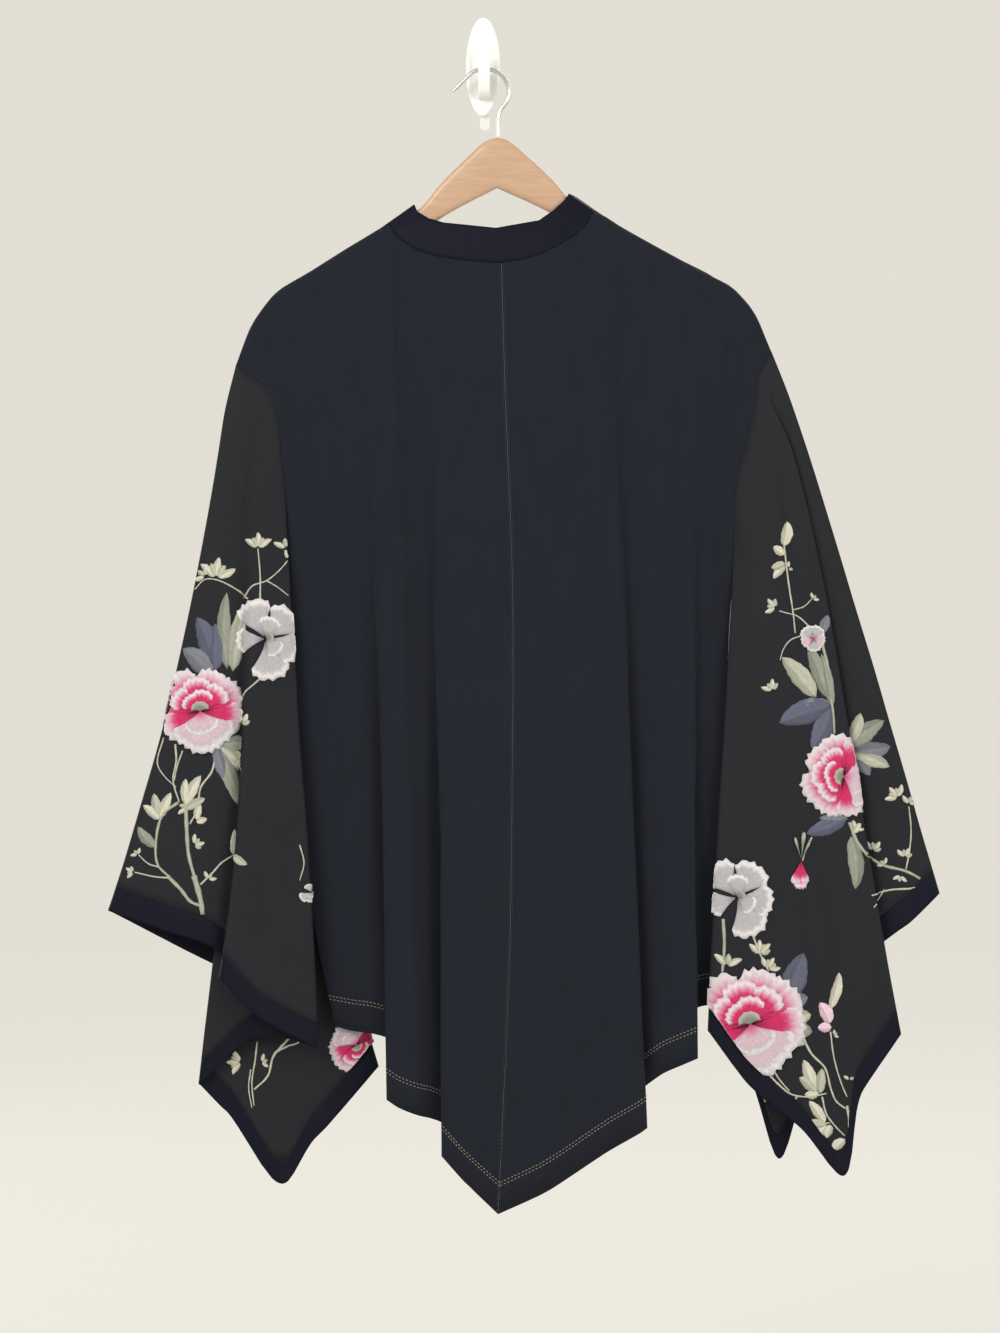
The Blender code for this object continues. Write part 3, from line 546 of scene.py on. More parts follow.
def smooth_run(points, shares, closed=False):
    """A curve through the points, with the columns between neighbours at these shares."""
    count = len(points)
    spans = count if closed else count - 1
    lengths = [max((points[(i + 1) % count] - points[i]).length, 1e-9) ** 0.5 for i in range(spans)]

    def slope(i):
        if not closed and i in (0, count - 1):
            a = 0 if i == 0 else count - 2
            return (points[a + 1] - points[a]) / lengths[a]
        before = lengths[(i - 1) % spans]
        after = lengths[i % spans]
        rise = (points[(i + 1) % count] - points[i]) / after
        fall = (points[i] - points[(i - 1) % count]) / before
        return (rise * before + fall * after) / (before + after)

    run = []
    for i in range(spans):
        start, end = points[i], points[(i + 1) % count]
        lead_out = slope(i) * lengths[i]
        lead_in = slope((i + 1) % count) * lengths[i]
        for s in shares:
            run.append(start * (2 * s**3 - 3 * s**2 + 1) + lead_out * (s**3 - 2 * s**2 + s)
                       + end * (3 * s**2 - 2 * s**3) + lead_in * (s**3 - s**2))
    run.append(points[0].copy() if closed else points[-1].copy())
    return run


def folded_run(points, closed=False):
    """A line across the cloth, whose sharp folds get a small round loop."""
    run = smooth_run(points, COLUMN_SHARES, closed)
    count = len(points)
    for i in range(count):
        if closed or 0 < i < count - 1:
            open_fold(run, i * len(COLUMN_SHARES), points[i - 1], points[i], points[(i + 1) % count])
    return run


def open_fold(run, index, before, fold, after):
    way_in = Vector((fold.x - before.x, fold.y - before.y))
    way_out = Vector((after.x - fold.x, after.y - fold.y))
    doubling = way_in.normalized().dot(way_out.normalized())
    share = min(1.0, max(0.0, (LOOP_STARTS - doubling) / (LOOP_STARTS - LOOP_FULL)))
    if share == 0:
        return
    aside = Vector((0, math.copysign(FOLD_LOOP_HALF * MM, after.y - before.y), 0))
    depth = FOLD_LOOP_DEPTH * MM
    behind = fold.lerp(before, depth / way_in.length) - aside
    ahead = fold.lerp(after, depth / way_out.length) + aside
    last = index - 1 if index else len(run) - 2
    run[last] = run[last].lerp(behind, share)
    run[index + 1] = run[index + 1].lerp(ahead, share)


def body_rows():
    rolls = [(i / ROLL_ROWS, 0.0) for i in range(ROLL_ROWS)]
    return rolls + [(1.0, (i / BODY_ROWS) ** BODY_ROW_CROWDING) for i in range(BODY_ROWS + 1)]


def fold_point(fold, roll, hang, edge_out, edge_table):
    """A point of a fold line, first over the hanger and then down to the hem."""
    turn = roll * math.pi / 2
    roll_drop = fold.top_drop + ROLL_DROP * (1 - math.cos(turn))
    drop = mix(roll_drop, fold.hem_drop, hang)
    if fold.name == "side":
        return place(look_up(edge_table, drop, 1), drop, look_up(edge_table, drop, edge_out))
    x = mix(fold.top_x, fold.hem_x, hang ** fold.bow)
    if fold.name == "centre":
        x = look_up(CENTRE_SEAM, drop, 1)
    lie = mix(fold.top_out, fold.lie, math.sin(turn))
    return place(x, drop, mix(lie, fold.hem_out, hang ** BODY_FOLD_GROWTH))


def panel_grid(folds, edge_table, edge_out):
    return [
        folded_run([fold_point(fold, roll, hang, edge_out, edge_table) for fold in folds])
        for roll, hang in body_rows()
    ]


def edge_run(panel, column):
    """Drop, x and out of a panel's edge, row by row."""
    return [(-line[column].z / MM, line[column].x / MM, -line[column].y / MM) for line in panel]


def armhole_point(back_edge, front_edge, underarm, around, side, gap):
    """A point of the armhole seam, just off the body's edge."""
    share = around if around <= 1 else 2 - around
    edge = back_edge if around <= 1 else front_edge
    drop = mix(edge[0][0], underarm, share)
    x = look_up(edge, drop, 1)
    out = look_up(edge, drop, 2)
    if share in (0, 1):
        out = (look_up(back_edge, drop, 2) + look_up(front_edge, drop, 2)) / 2
    reach = ARMHOLE_SLOPE_REACH
    slope = (look_up(edge, drop + reach, 1) - look_up(edge, drop - reach, 1)) / (2 * reach)
    long = math.hypot(1.0, slope)
    return place(x + side * gap / long, drop - side * gap * slope / long, out)


def sleeve_columns(cuffs, back_edge, front_edge, underarm, side, launches, gap):
    """For each column round a sleeve: its start at the armhole, end at the opening, bow and launch."""
    ends = folded_run([place(cuff.x, cuff.drop, cuff.out) for cuff in cuffs], closed=True)
    columns = []
    for i, cuff in enumerate(cuffs):
        following = cuffs[(i + 1) % len(cuffs)]
        last_around = following.around if following.around > cuff.around else 2.0
        for share in COLUMN_SHARES:
            around = mix(cuff.around, last_around, share)
            start = armhole_point(back_edge, front_edge, underarm, around, side, gap)
            down = around if around <= 1 else 2 - around
            if down < LAUNCH_FULL_AT:
                launch = mix(launches[0], launches[1], down / LAUNCH_FULL_AT)
            else:
                launch = launches[1] * (1 - down) / (1 - LAUNCH_FULL_AT)
            launch = side * launch * MM
            columns.append((start, ends[len(columns)], mix(cuff.bow, following.bow, share), launch))
    columns.append(columns[0])
    return columns


def sleeve_point(column, hang):
    start, end, bow, launch = column
    stand_out = LAUNCH_SWELL * math.sqrt(hang) * (1 - hang) ** 2
    return Vector((
        mix(start.x, end.x, hang ** bow) + launch * stand_out,
        mix(start.y, end.y, hang ** SLEEVE_FOLD_GROWTH),
        mix(start.z, end.z, hang),
    ))


def sleeve_grid(columns, first, last, rows):
    """Rows of points between two distances from the opening. A first of None starts at the armhole."""
    grid = []
    for row in range(rows + 1):
        line = []
        for column in columns:
            length = (column[1] - column[0]).length / MM
            top = 0.0 if first is None else 1 - first / length
            line.append(sleeve_point(column, mix(top, 1 - last / length, row / rows)))
        grid.append(line)
    return grid


def neckband_grid(left, right, gap):
    """The band rises from the back's neck seam, whose points it takes."""
    left_corner = [fold.name for fold in BACK_LEFT].index("corner") * len(COLUMN_SHARES)
    right_corner = [fold.name for fold in BACK_RIGHT].index("ridge") * len(COLUMN_SHARES)
    seam = left[0][left_corner:] + right[0][1:right_corner + 1]
    grid = []
    for row in range(BAND_ROWS + 2):
        line = []
        for point in seam:
            x = point.x / MM
            free = place(look_up(NECK_FREE_EDGE, x, 1), look_up(NECK_FREE_EDGE, x, 2), -point.y / MM)
            start = gap * MM / (free - point).length
            line.append(point.lerp(free, mix(start, 1.0, row / (BAND_ROWS + 1))))
        grid.append(line)
    return grid


def front_band_grid(panel, edge_column, side, gap):
    """The band down a front edge, whose points it takes."""
    lean_ends = panel[0][edge_column].z - BAND_LEAN_LENGTH * MM
    grid = []
    for line in panel:
        seam = line[edge_column]
        share = min(1.0, max(0.0, (seam.z - lean_ends) / (BAND_LEAN_LENGTH * MM)))
        lean = BAND_TILT * share
        across = Vector((-side * math.cos(lean), 0, math.sin(lean)))
        grid.append([
            seam + across * MM * mix(gap, FRONT_BAND_WIDTH, step / BAND_ROWS)
            for step in range(BAND_ROWS + 1)
        ])
    return grid


def refined(grid, columns, rows, closed=False):
    """The same cloth with more points, which lie on curves through the solids' own."""
    across = [i / columns for i in range(columns)]
    down = [i / rows for i in range(rows)]
    wide = [smooth_run(line[:-1] if closed else line, across, closed) for line in grid]
    runs = [smooth_run([line[column] for line in wide], down) for column in range(len(wide[0]))]
    return [[run[row] for run in runs] for row in range(len(runs[0]))]


def outward(grid, row, column, closed, turn):
    """The cloth's outward direction at a point. Turn is -1 where rows and columns wind the other way."""
    last_row, last_column = len(grid) - 1, len(grid[0]) - 1
    left, right = max(column - 1, 0), min(column + 1, last_column)
    if closed and column == 0:
        left = last_column - 1
    if closed and column == last_column:
        right = 1
    across = grid[row][right] - grid[row][left]
    down = grid[min(row + 1, last_row)][column] - grid[max(row - 1, 0)][column]
    return across.cross(down).normalized() * turn


def drawn_to(grid, loop):
    """A sleeve whose top row is drawn to the nearest points of the armhole, and the rows below with it."""
    rows = len(grid) - 1
    shifts = []
    for point in grid[0]:
        nearest, least = None, math.inf
        for start, end in zip(loop, loop[1:]):
            share = (point - start).dot(end - start) / max((end - start).length_squared, 1e-12)
            on_edge = start.lerp(end, min(1.0, max(0.0, share)))
            if (on_edge - point).length < least:
                nearest, least = on_edge, (on_edge - point).length
        shifts.append(nearest - point)
    return [
        [point + shift * (1 - ease(row / rows, 0.0, SEAM_DRAW)) for point, shift in zip(line, shifts)]
        for row, line in enumerate(grid)
    ]


def crease_depth(piece, share, x, drop):
    """How far the creases lift a point of a piece, in millimetres."""
    near = [
        crease for (owner, first, last), creases in CREASES.items()
        if owner == piece and first <= share <= last for crease in creases
    ]
    total = 0.0
    for crease in near:
        run_x, run_drop = crease.x1 - crease.x0, crease.drop1 - crease.drop0
        length = math.hypot(run_x, run_drop)
        along = ((x - crease.x0) * run_x + (drop - crease.drop0) * run_drop) / length
        start, end = -CREASE_OVERRUN * length, (1 + CREASE_OVERRUN) * length
        if not start < along < end:
            continue
        bow = CREASE_BOW * length * math.sin(math.pi * along / length)
        aside = ((x - crease.x0) * run_drop - (drop - crease.drop0) * run_x) / length - bow
        fade = ease(along, start, CREASE_RISE * length) * (1 - ease(along, (1 - CREASE_RISE) * length, end))
        total += crease.depth * math.exp(-(aside / crease.width) ** 2) * fade
    return total


def creased(piece, grid, turn, closed=False):
    """The cloth with its soft creases, which fade out towards its seams and hems."""
    rows, columns = len(grid) - 1, len(grid[0]) - 1
    lifted = []
    for row, line in enumerate(grid):
        new = []
        for column, point in enumerate(line):
            x, drop = point.x / MM, -point.z / MM
            at = Vector((x / UNEVEN_WIDTH, point.y / MM / UNEVEN_WIDTH, drop / UNEVEN_LENGTH))
            lift = crease_depth(piece, column / columns, x, drop) + UNEVEN_DEPTH * noise.noise(at)
            fade = ease(row / rows, 0.0, 0.14) * (1 - ease(row / rows, 0.94, 1.0))
            if not closed:
                fade *= ease(column / columns, 0.0, 0.08) * (1 - ease(column / columns, 0.92, 1.0))
            new.append(point + outward(grid, row, column, closed, turn) * lift * fade * MM)
        lifted.append(new)
    return lifted


@lru_cache(maxsize=None)
def coat_grids(gap):
    """The points of every piece of cloth by name, with this gap at the seams in millimetres."""
    back_left = panel_grid(BACK_LEFT, LEFT_EDGE, 2)
    back_right = panel_grid(BACK_RIGHT, RIGHT_EDGE, 2)
    front_left = panel_grid(FRONT_LEFT, LEFT_EDGE, 3)
    front_right = panel_grid(FRONT_RIGHT, RIGHT_EDGE, 3)
    half_gap = Vector((gap / 2 * MM, 0, 0))
    for line in back_left:
        line[-1] = line[-1] - half_gap
    for line in back_right:
        line[0] = line[0] + half_gap
    grids = {}
    for name, grid, turn in (("back_left", back_left, -1), ("back_right", back_right, -1),
                             ("front_left", front_left, 1), ("front_right", front_right, 1)):
        grids[name] = creased(name, refined(grid, FINE_COLUMNS, FINE_BODY_ROWS), turn)
    grids["neckband"] = refined(neckband_grid(back_left, back_right, gap), FINE_COLUMNS, FINE_BAND_ROWS)
    grids["front_band_left"] = refined(front_band_grid(front_left, -1, -1, gap), FINE_COLUMNS, FINE_BODY_ROWS)
    grids["front_band_right"] = refined(front_band_grid(front_right, 0, 1, gap), FINE_COLUMNS, FINE_BODY_ROWS)
    for side, sign, cuffs, back, front, column, underarm, launches in (
        ("left", -1, LEFT_CUFF, back_left, front_left, 0, LEFT_UNDERARM, LEFT_LAUNCH),
        ("right", 1, RIGHT_CUFF, back_right, front_right, -1, RIGHT_UNDERARM, RIGHT_LAUNCH),
    ):
        edges = edge_run(back, column), edge_run(front, column)
        columns = sleeve_columns(cuffs, *edges, underarm, sign, launches, gap)
        whole = sleeve_grid(columns, None, CUFF_BAND_WIDTH, SLEEVE_ROWS)
        sleeve = refined(whole, FINE_COLUMNS, FINE_SLEEVE_ROWS, closed=True)
        back_edge = [line[column] for line in grids["back_" + side]]
        front_edge = [line[column] for line in grids["front_" + side]]
        within = [point for point in back_edge if -point.z / MM <= underarm]
        back_again = [point for point in reversed(front_edge) if -point.z / MM <= underarm]
        sleeve = drawn_to(sleeve, within + back_again + within[:1])
        grids["sleeve_" + side] = creased("sleeve_" + side, sleeve, sign, closed=True)
        band = sleeve_grid(columns, CUFF_BAND_WIDTH, 0, BAND_ROWS)
        grids["cuff_band_" + side] = refined(band, FINE_COLUMNS, FINE_BAND_ROWS, closed=True)
    return grids


class Socket:
    """A node's output. Sums, differences and products of it add Math nodes."""

    def __init__(self, tree, output):
        self.tree = tree
        self.output = output

    def maths(self, operation, *values):
        node = self.tree.nodes.new("ShaderNodeMath")
        node.operation = operation
        for slot, value in zip(node.inputs, values):
            if isinstance(value, Socket):
                self.tree.links.new(value.output, slot)
            else:
                slot.default_value = value
        return Socket(self.tree, node.outputs[0])

    def __add__(self, other):
        return self.maths("ADD", self, other)

    __radd__ = __add__

    def __rsub__(self, other):
        return self.maths("SUBTRACT", other, self)

    def __mul__(self, other):
        return self.maths("MULTIPLY", self, other)

    def sine(self):
        return self.maths("SINE", self)


class Finish:
    """A material of the coat, built node by node on its Principled shader."""

    def __init__(self, name, **constants):
        self.material = bpy.data.materials.new(name)
        self.material.use_nodes = True
        self.tree = self.material.node_tree
        self.shader = self.tree.nodes["Principled BSDF"]
        for slot, value in constants.items():
            self.shader.inputs[slot.replace("_", " ")].default_value = value

    def add(self, kind, settings=None, sockets=None, output=0):
        """A node with its settings, then the values or links of its sockets."""
        node = self.tree.nodes.new(kind)
        for setting, value in (settings or {}).items():
            setattr(node, setting, value)
        for slot, value in (sockets or {}).items():
            if isinstance(value, Socket):
                self.tree.links.new(value.output, node.inputs[slot])
            else:
                node.inputs[slot].default_value = value
        return Socket(self.tree, node.outputs[output])

    def across_and_down(self):
        """The cloth's own coordinates, in metres across and down."""
        split = self.add("ShaderNodeSeparateXYZ", {}, {0: self.add("ShaderNodeTexCoord", output="UV")})
        return split, Socket(self.tree, split.output.node.outputs[1])

    def clouds(self, space, stretch, scale, detail):
        """Noise in one of the piece's spaces, stretched along its axes."""
        source = self.add("ShaderNodeTexCoord", output=space)
        where = self.add("ShaderNodeMapping", {}, {"Vector": source, "Scale": stretch})
        return self.add("ShaderNodeTexNoise", {}, {"Vector": where, "Scale": scale, "Detail": detail})

    def shade(self, colour, amount):
        """A colour, darkened or lightened by an amount near 1."""
        return self.add("ShaderNodeVectorMath", {"operation": "SCALE"}, {0: colour, "Scale": amount})

    def blend(self, factor, first, second):
        return self.add("ShaderNodeMix", {"data_type": "RGBA"}, {0: factor, 6: first, 7: second}, output=2)

    def paint(self, slot, value):
        self.tree.links.new(value.output, self.shader.inputs[slot])

    def relief(self, height, strength, distance):
        bump = self.add("ShaderNodeBump", {}, {"Height": height, "Strength": strength, "Distance": distance})
        self.paint("Normal", bump)


def ripples(along, pitch):
    """Ridges across a direction, at a pitch in metres."""
    return (along * (math.tau / pitch)).sine()


def coat_colour(name):
    return tuple(getattr(bpy.context.scene.coat_colours, name))


def kept(name, make):
    """The material of that name, made once."""
    return bpy.data.materials.get(name) or make(name)


def jersey_finish(name):
    """Matt knit: fine upright wales with a little unevenness in the dye, and a faint painted shade in the
    grooves between the wales.
    """
    finish = Finish(name, Sheen_Weight=0.04, Sheen_Roughness=0.5, Specular_IOR_Level=0.06)
    across, down = finish.across_and_down()
    wales = ripples(across, 0.0011)
    courses = ripples(down, 0.0009)
    mottle = finish.clouds("UV", (1, 0.35, 1), 60.0, 4.0)
    # Painted shade: the wales term darkens the colour a little in the grooves of their relief. The mottle is
    # the dye's own unevenness.
    amount = 0.84 + mottle * 0.3 + wales * 0.05
    finish.paint("Base Color", finish.shade(coat_colour("jersey"), amount))
    finish.paint("Roughness", 0.74 + mottle * 0.16)
    finish.relief(wales * 0.5 + courses * 0.3 + mottle, 0.35, 0.00035)
    return finish.material


def satin_finish(name):
    """Charcoal satin with a faint slub that runs along the weft, and a faint painted shade between the weft's
    ribs.
    """
    finish = Finish(name, Sheen_Weight=0.02, Sheen_Roughness=0.35, Specular_IOR_Level=0.05)
    down = finish.across_and_down()[1]
    weft = ripples(down, 0.0007)
    slub = finish.clouds("UV", (0.25, 3.0, 1), 320.0, 3.0)
    wash = finish.clouds("UV", (1, 0.5, 1), 26.0, 3.0)
    # Painted shade: the weft term darkens the colour a little between the ribs of its relief. Slub and wash
    # are the cloth's own tone.
    amount = 0.78 + slub * 0.28 + wash * 0.18 + weft * 0.03
    finish.paint("Base Color", finish.shade(coat_colour("satin"), amount))
    finish.paint("Roughness", 0.40 + slub * 0.12 + wash * 0.08)
    finish.relief(weft * 0.4 + slub, 0.3, 0.0003)
    return finish.material


def binding_finish(name):
    """Folded satin binding, with ribs across it and soft puckers along its seam, whose hollows are darkened
    with painted shade.
    """
    finish = Finish(name, Sheen_Weight=0.02, Sheen_Roughness=0.3, Specular_IOR_Level=0.04)
    across = finish.across_and_down()[0]
    ribs = ripples(across, 0.0008)
    puckers = finish.clouds("UV", (1.0, 0.3, 1), 150.0, 2.0)
    # Painted shade: the colour darkens in the hollows of the puckers and between the ribs, in step with their
    # relief.
    amount = 0.8 + puckers * 0.4 + ribs * 0.04
    finish.paint("Base Color", finish.shade(coat_colour("binding"), amount))
    finish.paint("Roughness", 0.34 + puckers * 0.14)
    finish.relief(ribs * 0.3 + puckers * 1.6, 0.5, 0.0006)
    return finish.material


def embroidery_finish(name):
    """Glossy floss in long and short stitches, coloured by each shape's own threads, with painted shade
    between its strands and stitches and painted highlight on their crests.
    """
    finish = Finish(name, Sheen_Weight=0.08, Sheen_Roughness=0.35, Specular_IOR_Level=0.3)
    strands = finish.clouds("UV", (1600.0, 90.0, 1.0), 1.0, 2.0)
    stitches = finish.clouds("UV", (700.0, 260.0, 1.0), 1.0, 3.0)
    # Painted shade and highlight: the colour darkens where the strands and stitches dip and lightens on their
    # crests, in step with their relief.
    amount = 0.42 + strands * 0.62 + stitches * 0.5
    thread = finish.add("ShaderNodeAttribute", {"attribute_name": "thread"})
    finish.paint("Base Color", finish.shade(thread, amount))
    finish.paint("Roughness", 0.36 + strands * 0.26)
    finish.relief(strands + stitches * 0.5, 0.8, 0.0006)
    return finish.material


def wood_finish(name):
    """Pale wood under clear lacquer, with the grain along the hanger."""
    finish = Finish(name, Coat_Weight=0.35, Coat_Roughness=0.2, Specular_IOR_Level=0.4)
    drift = finish.clouds("Object", (2.0, 2.0, 2.0), 4.0, 2.0)
    grain = finish.clouds("Object", (2.6, 26.0, 30.0), 6.0, 5.0)
    bands = (grain * 26.0 + drift * 8.0).sine() * 0.5 + 0.5
    pores = finish.clouds("Object", (30.0, 500.0, 500.0), 4.0, 2.0)
    light = finish.shade(coat_colour("wood"), 0.94 + drift * 0.16)
    dark = finish.shade(coat_colour("wood_grain"), 0.9 + pores * 0.2)
    finish.paint("Base Color", finish.blend(bands * 0.28 + (1 - pores) * 0.14, light, dark))
    finish.paint("Roughness", 0.36 + pores * 0.12)
    finish.relief(bands * 0.3 + pores, 0.2, 0.0003)
    return finish.material


def clouded_finish(name, colour, scale, detail, shade, rough=None, **constants):
    """One colour with fine noise. Shade and rough give each one's least value and the noise's share."""
    finish = Finish(name, **constants)
    haze = finish.clouds("Object", (1, 1, 1), scale, detail)
    finish.paint("Base Color", finish.shade(colour, shade[0] + haze * shade[1]))
    if rough:
        finish.paint("Roughness", rough[0] + haze * rough[1])
    return finish.material


def thread_finish(name):
    """Twisted sewing thread, in the colour of the same name."""
    return clouded_finish(name, coat_colour(name), 2600.0, 1.0, (0.8, 0.4), Roughness=0.5,
                          Specular_IOR_Level=0.1)


def steel_finish(name):
    return clouded_finish(name, coat_colour("steel"), 900.0, 3.0, (0.9, 0.2), (0.2, 0.16), Metallic=1.0)


def plastic_finish(name):
    """Milky moulded plastic, faintly cloudy."""
    return clouded_finish(name, coat_colour("plastic"), 90.0, 3.0, (0.96, 0.07), (0.26, 0.12),
                          Subsurface_Weight=0.2, Subsurface_Radius=(0.004, 0.004, 0.004), IOR=1.46)


def tab_finish(name):
    """Clear stretch tab of the adhesive strip."""
    return clouded_finish(name, (0.86, 0.87, 0.84), 300.0, 2.0, (0.9, 0.14), (0.3, 0.2), IOR=1.46, Alpha=0.45)


def floor_finish(name):
    """Matt floor that glows a little, which keeps the backdrop even."""
    pale = coat_colour("floor")
    return clouded_finish(name, pale, 1.2, 4.0, (0.19, 0.02), (0.78, 0.1), Specular_IOR_Level=0.2,
                          Emission_Color=(*pale, 1.0), Emission_Strength=0.84)


def placed(name, data):
    """A new object in the scene."""
    item = bpy.data.objects.new(name, data)
    bpy.context.scene.collection.objects.link(item)
    return item


def smooth_mesh(name, shape, finish):
    mesh = bpy.data.meshes.new(name)
    shape.to_mesh(mesh)
    shape.free()
    mesh.shade_smooth()
    mesh.materials.append(finish)
    return mesh


def finished(name, shape, finish, slot, replaces=(), corner=40):
    """The piece's object from its bmesh: shaded, finished, riding on the coat's one body."""
    mesh = smooth_mesh(name, shape, finish)
    mesh.set_sharp_from_angle(angle=math.radians(corner))
    piece = placed(name, mesh)
    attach(piece, "root")
    if replaces:
        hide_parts(*replaces)
    return piece


def cloth(node, finish, slot, rests_on, closed=False):
    """A node's cloth: a thin shell on its grid, with its own map in metres across and down."""
    grid = coat_grids(seam_gap())[node]
    rows, columns = len(grid), len(grid[0])
    middle = grid[rows // 2]
    across = [0.0]
    for before, after in zip(middle, middle[1:]):
        across.append(across[-1] + (after - before).length)
    shape = bmesh.new()
    bmesh.ops.create_grid(shape, x_segments=columns - 1, y_segments=rows - 1, size=1.0)
    shape.verts.ensure_lookup_table()
    where = {}
    for column in range(columns):
        down = 0.0
        for row in range(rows):
            if row:
                down += (grid[row][column] - grid[row - 1][column]).length
            vert = shape.verts[row * columns + column]
            vert.co = grid[row][column]
            where[vert] = (across[column], -down)
    layer = shape.loops.layers.uv.new("cloth")
    for face in shape.faces:
        for loop in face.loops:
            loop[layer].uv = where[loop.vert]
    area = sum(face.calc_area() for face in shape.faces)
    if closed:
        bmesh.ops.remove_doubles(shape, verts=shape.verts, dist=WELD * MM)
    piece = finished(node + "_cloth", shape, finish, slot, [node])
    thicken = piece.modifiers.new("cloth", "SOLIDIFY")
    thicken.thickness = bpy.context.scene.coat_sizes.cloth
    thicken.offset = 0.0
    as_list(rests_on)


def round_turns(sides):
    """The angles of a ring's points."""
    return [step / sides * math.tau for step in range(sides)]


def rounded(shape, edges, radius, segments):
    """Edges rounded to a radius in millimetres."""
    bmesh.ops.bevel(shape, geom=edges, offset=radius * MM, offset_type="OFFSET", segments=segments,
                    profile=0.5, affect="EDGES", material=-1)


def swept(shape, rings):
    """Walls between rings of points, with both ends filled."""
    edges = []
    for ring in rings:
        verts = [shape.verts.new(point) for point in ring]
        edges.append([shape.edges.new((verts[i - 1], verts[i])) for i in range(len(verts))])
    for first, second in zip(edges, edges[1:]):
        bmesh.ops.bridge_loops(shape, edges=first + second)
    bmesh.ops.holes_fill(shape, edges=edges[0] + edges[-1], sides=len(rings[0]))
    bmesh.ops.recalc_face_normals(shape, faces=shape.faces)


def sewn(shape, run, pitch, length, radius):
    """A row of stitches along a run of points with their outward directions."""
    travelled, due = 0.0, pitch / 2
    for (start, out), (end, _) in zip(run, run[1:]):
        span = (end - start).length
        while span > 0 and due <= travelled + span:
            along = (end - start).normalized()
            side = out.cross(along).normalized()
            up = along.cross(side)
            turn = Matrix((along, side, up)).transposed().to_4x4()
            middle = start.lerp(end, (due - travelled) / span) + out * radius * 0.5
            size = Matrix.Diagonal((length / 2, radius, radius, 1.0))
            bmesh.ops.create_icosphere(shape, subdivisions=1, radius=1.0,
                                       matrix=Matrix.Translation(middle) @ turn @ size)
            due += pitch
        travelled += span


def hem_run(name, from_hem, turn, lift):
    """Points of a piece at a distance above its hem, with their outward directions."""
    grid = coat_grids(seam_gap())[name]
    run = []
    for column in range(len(grid[0])):
        left = from_hem
        for row in range(len(grid) - 1, 0, -1):
            step = (grid[row - 1][column] - grid[row][column]).length
            if left <= step:
                out = outward(grid, row, column, False, turn)
                point = grid[row][column].lerp(grid[row - 1][column], left / step)
                run.append((point + out * lift, out))
                break
            left -= step
    return run


